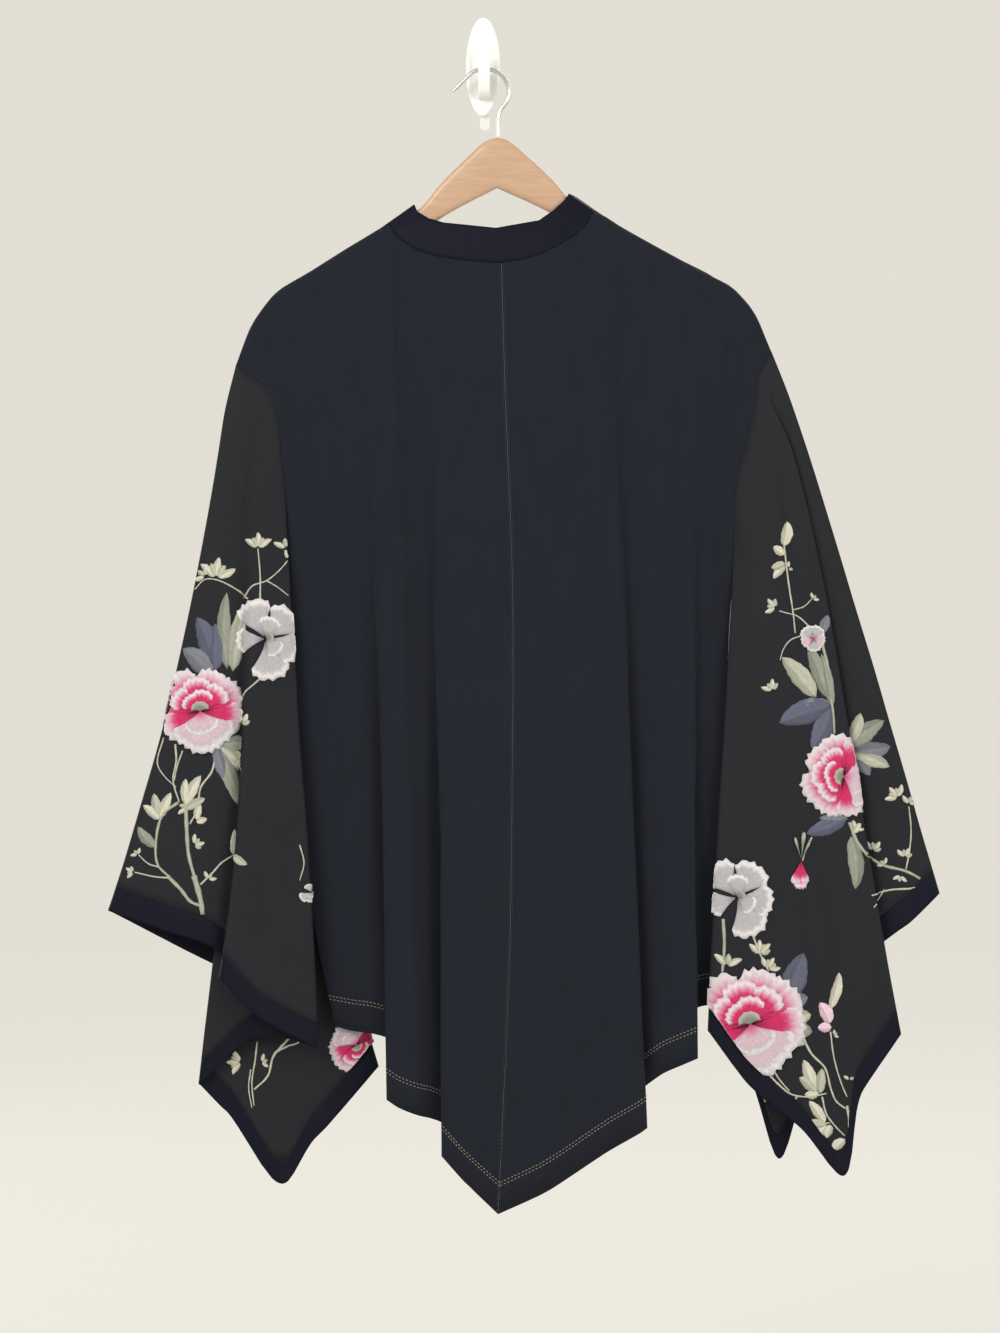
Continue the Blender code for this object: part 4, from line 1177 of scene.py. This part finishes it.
class Drape:
    """Lays flat shapes on the cloth that is seen from one side: 1 from the viewer's, -1 from the wall's."""

    def __init__(self, name, toward):
        grid = coat_grids(seam_gap())[name]
        columns = len(grid[0])
        points = [point for line in grid for point in line]
        faces = [
            (i, i + 1, i + 1 + columns, i + columns)
            for row in range(len(grid) - 1)
            for i in range(row * columns, row * columns + columns - 1)
        ]
        self.tree = BVHTree.FromPolygons(points, faces)
        self.ray = Vector((0, toward, 0))
        self.surface = bpy.context.scene.coat_sizes.cloth / 2

    def landing(self, spot):
        """The point and outward direction of the cloth at a spot given right and down in millimetres."""
        start = place(spot[0], spot[1], 0) - self.ray * RAY_START
        point, normal, _, _ = self.tree.ray_cast(start, self.ray)
        if point is None:
            return None
        return point, normal if normal.dot(self.ray) < 0 else -normal

    def reached(self, anchor, spot):
        """The landing at a spot, or the last one before a fold's edge on the way there from the anchor."""
        good = self.landing(anchor)
        if good is None:
            return None
        step = math.dist(anchor, spot) / DRAPE_STEPS
        clear, stopped = 0.0, None
        for i in range(1, DRAPE_STEPS + 1):
            hit = self.landing([mix(a, b, i / DRAPE_STEPS) for a, b in zip(anchor, spot)])
            if hit is None or abs(hit[0].y - good[0].y) > (DRAPE_JUMP + step) * MM:
                stopped = i / DRAPE_STEPS
                break
            good, clear = hit, i / DRAPE_STEPS
        if stopped is None:
            return good
        for _ in range(DRAPE_HALVINGS):
            middle = (clear + stopped) / 2
            hit = self.landing([mix(a, b, middle) for a, b in zip(anchor, spot)])
            if hit is None or abs(hit[0].y - good[0].y) > (DRAPE_JUMP + step) * MM:
                stopped = middle
            else:
                good, clear = hit, middle
        return good

    def sew(self, shape, spots, lifts, colours, anchor, size):
        """One satin-stitched shape: rows of spots with their lifts and colours, laid on the cloth.

        An anchor is the spot that the shape is cut off towards where the cloth ends. Without one,
        its faces are left out there. Size is its width and length in metres, for the thread's map.
        """
        rows, columns = len(spots), len(spots[0])
        made = bmesh.ops.create_grid(shape, x_segments=columns - 1, y_segments=rows - 1, size=1.0)["verts"]
        made.sort(key=lambda vert: (round(vert.co.y, 5), round(vert.co.x, 5)))
        thread = shape.verts.layers.float_color["thread"]
        lost, where = [], {}
        for i, vert in enumerate(made):
            row, column = divmod(i, columns)
            spot = spots[row][column]
            hit = self.reached(anchor, spot) if anchor else self.landing(spot)
            if hit is None:
                lost.append(vert)
                continue
            vert.co = hit[0] + hit[1] * (self.surface + lifts[row][column] * MM)
            vert[thread] = (*colours[row][column], 1.0)
            where[vert] = (column / (columns - 1) * size[0], row / (rows - 1) * size[1])
        faces = {face for vert in made for face in vert.link_faces}
        layer = shape.loops.layers.uv["cloth"]
        torn = []
        for face in faces:
            depths = [vert.co.y for vert in face.verts]
            if any(vert in lost for vert in face.verts) or max(depths) - min(depths) > 2 * DRAPE_JUMP * MM:
                torn.append(face)
                continue
            for loop in face.loops:
                loop[layer].uv = where[loop.vert]
            face.normal_update()
        kept_faces = [face for face in faces if face not in torn]
        turned = sum(face.normal.dot(self.ray) * face.calc_area() for face in kept_faces)
        bmesh.ops.delete(shape, geom=torn, context="FACES")
        if turned > 0:
            bmesh.ops.reverse_faces(shape, faces=kept_faces)
        bmesh.ops.delete(shape, geom=[vert for vert in lost if vert.is_valid], context="VERTS")
        left = [edge for face in kept_faces if face.is_valid for edge in face.edges]
        bmesh.ops.dissolve_degenerate(shape, edges=list(set(left)), dist=0.04 * MM)


def thread_colour(shades, share):
    for (low, first), (high, second) in zip(shades, shades[1:]):
        if share <= high:
            part = (share - low) / (high - low)
            return tuple(mix(a, b, part) for a, b in zip(THREADS[first], THREADS[second]))
    return THREADS[shades[-1][1]]


def heading(turn):
    """Right and down steps of a direction in degrees clockwise from upwards."""
    return math.sin(math.radians(turn)), -math.cos(math.radians(turn))


def dome(across, layer):
    return THREAD_EDGE + THREAD_DOME * (1 - across * across) ** 0.5 + THREAD_LAYER * layer


def stitched(rows, columns, at):
    """Rows of spots, of lifts and of colours, from a function of the row and the way across."""
    cells = [[at(row, 2 * column / columns - 1) for column in range(columns + 1)] for row in range(rows + 1)]
    return [[[cell[part] for cell in line] for line in cells] for part in range(3)]


def petal(drape, shape, kind, foot, turn, reach, spread, layer, anchor):
    """A fan of long stitches with a scalloped, paler rim."""
    wave = 0.5 + 0.5 * math.sin(7.1 * turn + 2.3 * layer)

    def at(row, across):
        share = row / PETAL_ROWS
        right, down = heading(turn + across * spread * (0.55 + 0.45 * share ** 0.6) * 1.12)
        notches = 0.045 * math.cos(math.pi * (4.4 + wave) * across + 6 * wave)
        far = reach * (0.07 + 0.93 * share) * (1 + (notches - 0.20 * across ** 4) * share)
        rim = 0.3 * math.exp(-((share - 0.93) / 0.07) ** 2)
        edge = 1.0
        if share < 1:
            foot_edge = 2 * abs(share - 0.5) ** 2.6 * 1.8
            edge = max(abs(across) ** 3, foot_edge) ** 0.5
        ragged = 0.07 * math.sin(23 * across + 9 * wave) * math.sin(41 * across + layer)
        shade = min(1.0, max(0.0, share + ragged * (1 - share)))
        spot = foot[0] + right * far, foot[1] + down * far
        return spot, dome(edge, layer) + rim, thread_colour(PETAL_SHADES[kind], shade)

    width = 2 * reach * math.sin(math.radians(spread)) * MM
    drape.sew(shape, *stitched(PETAL_ROWS, PETAL_COLUMNS, at), anchor, (width, reach * MM))


def flower(drape, shape, item):
    if drape.landing((item.x, item.drop)) is None:
        return
    for layer, (kind, turn, reach, spread) in enumerate(PETALS[item.kind]):
        foot = item.x, item.drop
        if kind == "cup":
            right, down = heading(turn + item.turn)
            foot = item.x - right * item.size * CUP_FOOT, item.drop - down * item.size * CUP_FOOT
        petal(drape, shape, kind, foot, turn + item.turn, reach * item.size, spread,
              layer + FIRST_FLOWER_LAYER, (item.x, item.drop))


def leaf(drape, shape, item, layer):
    """A serrated leaf with a pale midrib and slanting stitches."""
    along = item.tip_x - item.x, item.tip_drop - item.drop
    length = math.hypot(*along)
    side = -along[1] / length, along[0] / length

    def at(row, across):
        share = row / LEAF_ROWS
        half = item.width / 2 * math.sin(math.pi * share ** 0.72) ** 0.75 + 0.25
        half *= 1 + 0.16 * ((share * 4.5) % 1.0 - 0.5) * (0.1 < share < 0.95)
        sway = 0.06 * length * math.sin(math.pi * share) * math.sin(item.x + item.drop)
        slant = 0.10 * length * abs(across) * math.sin(math.pi * share)
        step = share + slant / length
        aside = across * half + sway
        spot = item.x + along[0] * step + side[0] * aside, item.drop + along[1] * step + side[1] * aside
        lift = dome(across, layer) * (0.55 + 0.45 * math.sin(math.pi * share))
        light = 1.35 if across == 0 else 0.82 + 0.3 * (across > 0) + 0.2 * abs(across)
        return spot, lift, tuple(light * value for value in THREADS[item.colour])

    anchor = mix(item.x, item.tip_x, 0.3), mix(item.drop, item.tip_drop, 0.3)
    drape.sew(shape, *stitched(LEAF_ROWS, LEAF_COLUMNS, at), anchor, (item.width * MM, length * MM))


def sprig(drape, shape, item, layer):
    """A few small leaves that fan out from the end of a twig."""
    for i in range(item.leaves):
        turn = item.turn + SPRIG_SPREAD * (i / max(1, item.leaves - 1) - 0.5)
        right, down = heading(turn)
        long = item.size * (1 - 0.25 * (i % 2))
        colour = ("straw", "sage")[i % 2]
        start = 0.12 * item.size
        foot = item.x + right * start, item.drop + down * start
        tip = item.x + right * long, item.drop + down * long
        leaf(drape, shape, Leaf(colour, *foot, *tip, 0.30 * item.size + 0.8), layer)


def stem(drape, shape, item, layer):
    """A couched stem on a smooth curve, thinner towards its end, with a painted highlight along its raised
    middle.
    """
    run = smooth_run([Vector((x, drop, 0)) for x, drop in item.points], STEM_SHARES)
    last = len(run) - 1

    def at(row, across):
        point = run[row]
        along = (run[min(row + 1, last)] - run[max(row - 1, 0)]).normalized()
        knot = 1 + 0.12 * math.sin(row * 1.9 + item.points[0][0])
        half = item.width / 2 * (1 - 0.3 * row / len(run)) * knot
        spot = point.x - along.y * half * across, point.y + along.x * half * across
        # Painted highlight and shade: the stem is lighter along its raised middle and darker at its sides.
        light = 0.85 + 0.3 * (1 - abs(across))
        thread = THREADS["straw" if item.width < 3 else "sage"]
        return spot, dome(across, layer), tuple(light * value for value in thread)

    length = sum((after - before).length for before, after in zip(run, run[1:]))
    drape.sew(shape, *stitched(last, STEM_COLUMNS, at), None, (item.width * MM, length * MM))


def spray(drape, shape, tables):
    """All that is embroidered on one side of a sleeve, from the stems up to the flowers."""
    flowers, leaves, sprigs, stems = tables
    for item in stems:
        stem(drape, shape, item, 0)
    for item in sprigs:
        sprig(drape, shape, item, 1)
    for i, item in enumerate(leaves):
        leaf(drape, shape, item, 1 + i % 3)
    for item in flowers:
        flower(drape, shape, item)


def seam_gap():
    return bpy.context.scene.coat_sizes.seam_gap / MM


class CoatSizes(bpy.types.PropertyGroup):
    cloth: FloatProperty(
        name="Cloth", description="Thickness of the cloth", default=0.0008, min=0.0002, max=0.002,
        precision=4, unit="LENGTH")
    seam_gap: FloatProperty(
        name="Seam gap", description="Gap between two sewn pieces", default=0.00006, min=0.0, max=0.001,
        precision=5, unit="LENGTH")
    stitch: FloatProperty(
        name="Stitch", description="Length of one hem stitch", default=0.0026, min=0.001, max=0.006,
        precision=4, unit="LENGTH")
    stitch_pitch: FloatProperty(
        name="Stitch pitch", description="Distance from one hem stitch to the next", default=0.0036,
        min=0.0015, max=0.01, precision=4, unit="LENGTH")
    thread: FloatProperty(
        name="Thread", description="Radius of the sewing thread", default=0.00032, min=0.0001, max=0.001,
        precision=5, unit="LENGTH")
    hem_depth: FloatProperty(
        name="Hem depth", description="Height of the turned hem's stitching", default=0.026, min=0.01,
        max=0.06, unit="LENGTH")


class CoatColours(bpy.types.PropertyGroup):
    jersey: FloatVectorProperty(
        name="Jersey", description="Body of the coat", subtype="COLOR", default=(0.0130, 0.0152, 0.0225))
    satin: FloatVectorProperty(
        name="Satin", description="Sleeves", subtype="COLOR", default=(0.0180, 0.0190, 0.0225))
    binding: FloatVectorProperty(
        name="Binding", description="Neckband and cuff bands", subtype="COLOR",
        default=(0.0090, 0.0100, 0.0180))
    hem_thread: FloatVectorProperty(
        name="Hem thread", description="Twin rows above the hems", subtype="COLOR",
        default=(0.30, 0.285, 0.21))
    seam_thread: FloatVectorProperty(
        name="Seam thread", description="Stitches along the centre back seam", subtype="COLOR",
        default=(0.028, 0.033, 0.045))
    wood: FloatVectorProperty(
        name="Wood", description="Hanger", subtype="COLOR", default=(0.50, 0.325, 0.215))
    wood_grain: FloatVectorProperty(
        name="Wood grain", description="Darker lines of the hanger's grain", subtype="COLOR",
        default=(0.36, 0.21, 0.12))
    steel: FloatVectorProperty(
        name="Steel", description="Wire hook", subtype="COLOR", default=(0.62, 0.60, 0.57))
    plastic: FloatVectorProperty(
        name="Plastic", description="Wall hook", subtype="COLOR", default=(0.80, 0.81, 0.79))
    floor: FloatVectorProperty(
        name="Floor", description="Floor and backdrop", subtype="COLOR", default=(0.76, 0.735, 0.665))


class COAT_OT_body(bpy.types.Operator):
    """Make the jersey back panels and fronts"""
    bl_idname = "coat.body"
    bl_label = "Body"

    def execute(self, context):
        jersey = kept("jersey_knit", jersey_finish)
        for node in ("back_left", "back_right", "front_left", "front_right"):
            cloth(node, jersey, "jersey", ["hanger_wood"])
        return {"FINISHED"}


class COAT_OT_bands(bpy.types.Operator):
    """Make the neckband and the bands down the open fronts"""
    bl_idname = "coat.bands"
    bl_label = "Neck and front bands"

    def execute(self, context):
        binding = kept("satin_binding", binding_finish)
        cloth("neckband", binding, "band_satin", ["back_left_cloth", "back_right_cloth"])
        for side in ("left", "right"):
            cloth("front_band_" + side, binding, "band_satin", ["front_" + side + "_cloth"])
        return {"FINISHED"}


class COAT_OT_sleeves(bpy.types.Operator):
    """Make the wide satin sleeves with their bound cuffs"""
    bl_idname = "coat.sleeves"
    bl_label = "Sleeves"

    def execute(self, context):
        satin = kept("charcoal_satin", satin_finish)
        binding = kept("satin_binding", binding_finish)
        for side in ("left", "right"):
            cloth("sleeve_" + side, satin, "sleeve_satin", ["back_" + side + "_cloth"], closed=True)
            cloth("cuff_band_" + side, binding, "band_satin", ["sleeve_" + side + "_cloth"], closed=True)
        return {"FINISHED"}


class COAT_OT_embroidery(bpy.types.Operator):
    """Embroider the peony branches on both faces of the sleeves"""
    bl_idname = "coat.embroidery"
    bl_label = "Embroidery"

    def execute(self, context):
        floss = kept("embroidery_floss", embroidery_finish)
        for side, tables in (("left", LEFT_SPRAY), ("right", RIGHT_SPRAY)):
            for face, toward in (("back", 1), ("front", -1)):
                shape = bmesh.new()
                shape.verts.layers.float_color.new("thread")
                shape.loops.layers.uv.new("cloth")
                spray(Drape("sleeve_" + side, toward), shape, tables)
                piece = finished("embroidery_" + side + "_" + face, shape, floss, "sleeve_satin")
                padding = piece.modifiers.new("thread", "SOLIDIFY")
                padding.thickness = THREAD_THICKNESS * MM
                padding.offset = -1.0
        return {"FINISHED"}


class COAT_OT_stitching(bpy.types.Operator):
    """Sew the twin rows above the hems and the stitches along the centre back seam"""
    bl_idname = "coat.stitching"
    bl_label = "Stitching"

    def execute(self, context):
        sizes = context.scene.coat_sizes
        lift = sizes.cloth / 2
        thread = kept("hem_thread", thread_finish)
        for name, turn in (("back_left", -1), ("back_right", -1), ("front_left", 1), ("front_right", 1)):
            shape = bmesh.new()
            for height in (sizes.hem_depth, sizes.hem_depth + HEM_ROW_GAP):
                sewn(shape, hem_run(name, height, turn, lift), sizes.stitch_pitch, sizes.stitch, sizes.thread)
            finished(name + "_hem_stitches", shape, thread, "jersey")
        grids = coat_grids(seam_gap())
        shape = bmesh.new()
        for name, column in (("back_left", -2), ("back_right", 1)):
            grid = grids[name]
            edge = -1 if column < 0 else 0
            run = []
            for row in range(SEAM_FIRST_ROW, len(grid)):
                out = outward(grid, row, column % len(grid[0]), False, -1)
                seam, aside = grid[row][edge], grid[row][column]
                toward = (aside - seam).normalized()
                run.append((seam + toward * SEAM_ROW_ASIDE + out * lift, out))
            sewn(shape, run, SEAM_PITCH, SEAM_STITCH, sizes.thread * SEAM_THREAD_SHARE)
        finished("centre_seam_stitches", shape, kept("seam_thread", thread_finish), "jersey")
        return {"FINISHED"}


class COAT_OT_hanger(bpy.types.Operator):
    """Make the wooden hanger with its wire hook"""
    bl_idname = "coat.hanger"
    bl_label = "Hanger"

    def execute(self, context):
        half = [Vector((s.reach, s.top, s.bottom)) for s in HANGER_SECTIONS]
        thick = [Vector((s.thick, 0, 0)) for s in HANGER_SECTIONS]
        steps = [i / 4 for i in range(4)]
        stations = list(zip(smooth_run(half, steps), smooth_run(thick, steps)))
        rings = []
        for side, line in ((-1, reversed(stations[2:])), (1, stations)):
            for (reach, top, bottom), (width, _, _) in line:
                rings.append(self.section(side * max(reach, 0.0), top, bottom, width))
        shape = bmesh.new()
        swept(shape, rings)
        finished("hanger_wood_grained", shape, kept("hanger_wood_lacquered", wood_finish), "wood",
                 ["hanger_wood"], corner=60)

        route = [place(HANGER_X + x, drop, SHOULDER_OUT) for x, drop in STEM]
        for step in range(HOOK_BEND_STEPS + 1):
            turn = mix(HOOK_BEND_FROM, HOOK_BEND_TO, step / HOOK_BEND_STEPS)
            route.append(place(HOOK_CENTRE_X + HOOK_BEND_RADIUS * math.cos(turn),
                               HOOK_CENTRE_DROP - HOOK_BEND_RADIUS * math.sin(turn), SHOULDER_OUT))
        tip = place(*WIRE_TIP, SHOULDER_OUT)
        route += [route[-1].lerp(tip, 0.5), tip]
        route = smooth_run(route, [0.0, 0.5])
        shape = bmesh.new()
        rings = []
        for i, point in enumerate(route):
            along = (route[min(i + 1, len(route) - 1)] - route[max(i - 1, 0)]).normalized()
            side = along.cross(Vector((0, 1, 0))).normalized()
            to_end = (route[-1] - point).length / (WIRE_RADIUS * MM)
            radius = WIRE_RADIUS * MM * min(1.0, math.sqrt(0.3 + to_end))
            rings.append([
                point + (side * math.cos(a) + Vector((0, 1, 0)) * math.sin(a)) * radius
                for a in round_turns(WIRE_SIDES)
            ])
        swept(shape, rings)
        finished("hanger_wire", shape, kept("hook_steel", steel_finish), "steel", ["hanger_hook"])
        return {"FINISHED"}

    @staticmethod
    def section(x, top, bottom, width):
        """A rounded ring of the hanger at a distance along it."""
        ring = []
        for turn in round_turns(WOOD_SIDES):
            bulge_out = math.copysign(abs(math.cos(turn)) ** WOOD_ROUNDNESS, math.cos(turn))
            bulge_down = math.copysign(abs(math.sin(turn)) ** WOOD_ROUNDNESS, math.sin(turn))
            drop = (top + bottom) / 2 + bulge_down * (bottom - top) / 2
            level = HANGER_CREST + drop - x * math.sin(HANGER_TILT)
            ring.append(place(HANGER_X + x * math.cos(HANGER_TILT), level,
                              SHOULDER_OUT + bulge_out * width / 2))
        return ring


class COAT_OT_wall_hook(bpy.types.Operator):
    """Make the stick-up wall hook with its peg and pull tab"""
    bl_idname = "coat.wall_hook"
    bl_label = "Wall hook"

    def execute(self, context):
        plastic = kept("milky_plastic", plastic_finish)
        shape = bmesh.new()
        rings = []
        for shrink, out in PLATE_PROFILE:
            wide, high = PLATE_WIDTH / 2 - shrink, PLATE_HEIGHT / 2 - shrink
            rings.append([
                place(wide * math.cos(a), high * math.sin(a), out) for a in round_turns(PLATE_SIDES)
            ])
        swept(shape, rings)
        finished("wall_hook_plate", shape, plastic, "plastic", ["wall_hook"], corner=50)

        shape = bmesh.new()
        profile = smooth_run([place(PEG_X - PEG_WIDTH / 2, drop, out) for out, drop in PEG_PROFILE[:-1]],
                             [0.0, 0.5])
        profile.append(place(PEG_X - PEG_WIDTH / 2, PEG_PROFILE[-1][1], PEG_PROFILE[-1][0]))
        face = shape.faces.new([shape.verts.new(point) for point in profile])
        pulled = bmesh.ops.extrude_face_region(shape, geom=[face])
        verts = [item for item in pulled["geom"] if isinstance(item, bmesh.types.BMVert)]
        bmesh.ops.translate(shape, verts=verts, vec=place(PEG_WIDTH, 0, 0))
        bmesh.ops.recalc_face_normals(shape, faces=shape.faces)
        rim = [edge for edge in shape.edges if edge.calc_face_angle(0) > math.radians(60)
               and abs(edge.verts[0].co.x - edge.verts[1].co.x) < 0.1 * MM]
        rounded(shape, rim, PEG_ROUNDING, 4)
        finished("wall_hook_peg", shape, plastic, "plastic", corner=50)

        shape = bmesh.new()
        bmesh.ops.create_cube(shape, size=1.0)
        for vert in shape.verts:
            vert.co = (Vector(TAB_MIDDLE) + vert.co * Vector(TAB_SIZE)) * MM
        corners = [edge for edge in shape.edges if abs(edge.verts[0].co.y - edge.verts[1].co.y) > 0.4 * MM]
        rounded(shape, corners, TAB_ROUNDING, 5)
        finished("wall_hook_tab", shape, kept("clear_tab", tab_finish), "plastic")
        return {"FINISHED"}


class COAT_OT_stage(bpy.types.Operator):
    """Make the pale floor that curves up to a backdrop, the soft lights and the camera"""
    bl_idname = "coat.stage"
    bl_label = "Stage"

    def execute(self, context):
        scene = context.scene
        bend_from = FLOOR_REACH - FLOOR_BEND
        shape = bmesh.new()
        profile = [(radius, FLOOR_LEVEL) for radius in (FLOOR_HUB, 2.0, 4.0, bend_from)]
        for step in range(1, FLOOR_BEND_STEPS + 1):
            turn = step / FLOOR_BEND_STEPS * math.pi / 2
            profile.append((bend_from + FLOOR_BEND * math.sin(turn),
                            FLOOR_LEVEL + FLOOR_BEND * (1 - math.cos(turn))))
        profile.append((FLOOR_REACH, FLOOR_LEVEL + BACKDROP_HEIGHT))
        verts = [shape.verts.new((radius, 0, level)) for radius, level in profile]
        edges = [shape.edges.new(pair) for pair in zip(verts, verts[1:])]
        bmesh.ops.spin(shape, geom=verts + edges, cent=(0, 0, 0), axis=(0, 0, 1), angle=math.tau,
                       steps=FLOOR_SPIN_STEPS, use_merge=True, use_duplicate=False)
        hub = [edge for edge in shape.edges if edge.is_boundary and edge.verts[0].co.z < FLOOR_LEVEL + 0.01]
        bmesh.ops.holes_fill(shape, edges=hub, sides=0)
        bmesh.ops.recalc_face_normals(shape, faces=shape.faces)
        bmesh.ops.reverse_faces(shape, faces=shape.faces)
        floor = placed("pale_floor", smooth_mesh("pale_floor", shape, kept("pale_floor", floor_finish)))

        scene.view_settings.view_transform = "Standard"
        for item in LAMPS:
            light = bpy.data.lights.new(item.name, "AREA")
            light.shape = "DISK"
            light.size = item.size
            light.energy = item.power
            light.color = item.colour
            lamp = placed(item.name, light)
            lamp.location = item.spot
            lamp.rotation_euler = (AIM - Vector(item.spot)).to_track_quat("-Z", "Y").to_euler()
        world = bpy.data.worlds.new("soft_room")
        world.use_nodes = True
        background = world.node_tree.nodes["Background"]
        background.inputs["Color"].default_value = ROOM_COLOUR
        background.inputs["Strength"].default_value = ROOM_STRENGTH
        scene.world = world

        lens = bpy.data.cameras.new("photo_camera")
        lens.lens = CAMERA_LENS
        lens.clip_end = CAMERA_CLIP
        camera = placed("photo_camera", lens)
        distance = VIEW_HEIGHT * lens.lens / lens.sensor_width
        camera.location = AIM + Vector((0, -distance - NEAREST_CLOTH, 0))
        camera.rotation_euler = (math.pi / 2, 0, 0)
        scene.camera = camera
        return {"FINISHED"}


OPERATORS = (COAT_OT_stage, COAT_OT_body, COAT_OT_bands, COAT_OT_sleeves, COAT_OT_embroidery,
             COAT_OT_stitching, COAT_OT_hanger, COAT_OT_wall_hook)


class COAT_PT_panel(bpy.types.Panel):
    bl_idname = "COAT_PT_panel"
    bl_label = "Kimono coat"
    bl_space_type = "VIEW_3D"
    bl_region_type = "UI"
    bl_category = "Coat"

    def draw(self, context):
        for operator in OPERATORS:
            self.layout.operator(operator.bl_idname)
        for group in (context.scene.coat_sizes, context.scene.coat_colours):
            for name in group.__annotations__:
                self.layout.prop(group, name)


CLASSES = (CoatSizes, CoatColours, *OPERATORS, COAT_PT_panel)


def register():
    for item in CLASSES:
        bpy.utils.register_class(item)
    bpy.types.Scene.coat_sizes = PointerProperty(type=CoatSizes)
    bpy.types.Scene.coat_colours = PointerProperty(type=CoatColours)


def unregister():
    del bpy.types.Scene.coat_colours
    del bpy.types.Scene.coat_sizes
    for item in reversed(CLASSES):
        bpy.utils.unregister_class(item)


def main():
    register()
    bpy.ops.coat.stage()
    bpy.ops.coat.body()
    bpy.ops.coat.bands()
    bpy.ops.coat.sleeves()
    bpy.ops.coat.embroidery()
    bpy.ops.coat.stitching()
    bpy.ops.coat.hanger()
    bpy.ops.coat.wall_hook()


if __name__ == "__main__":
    main()
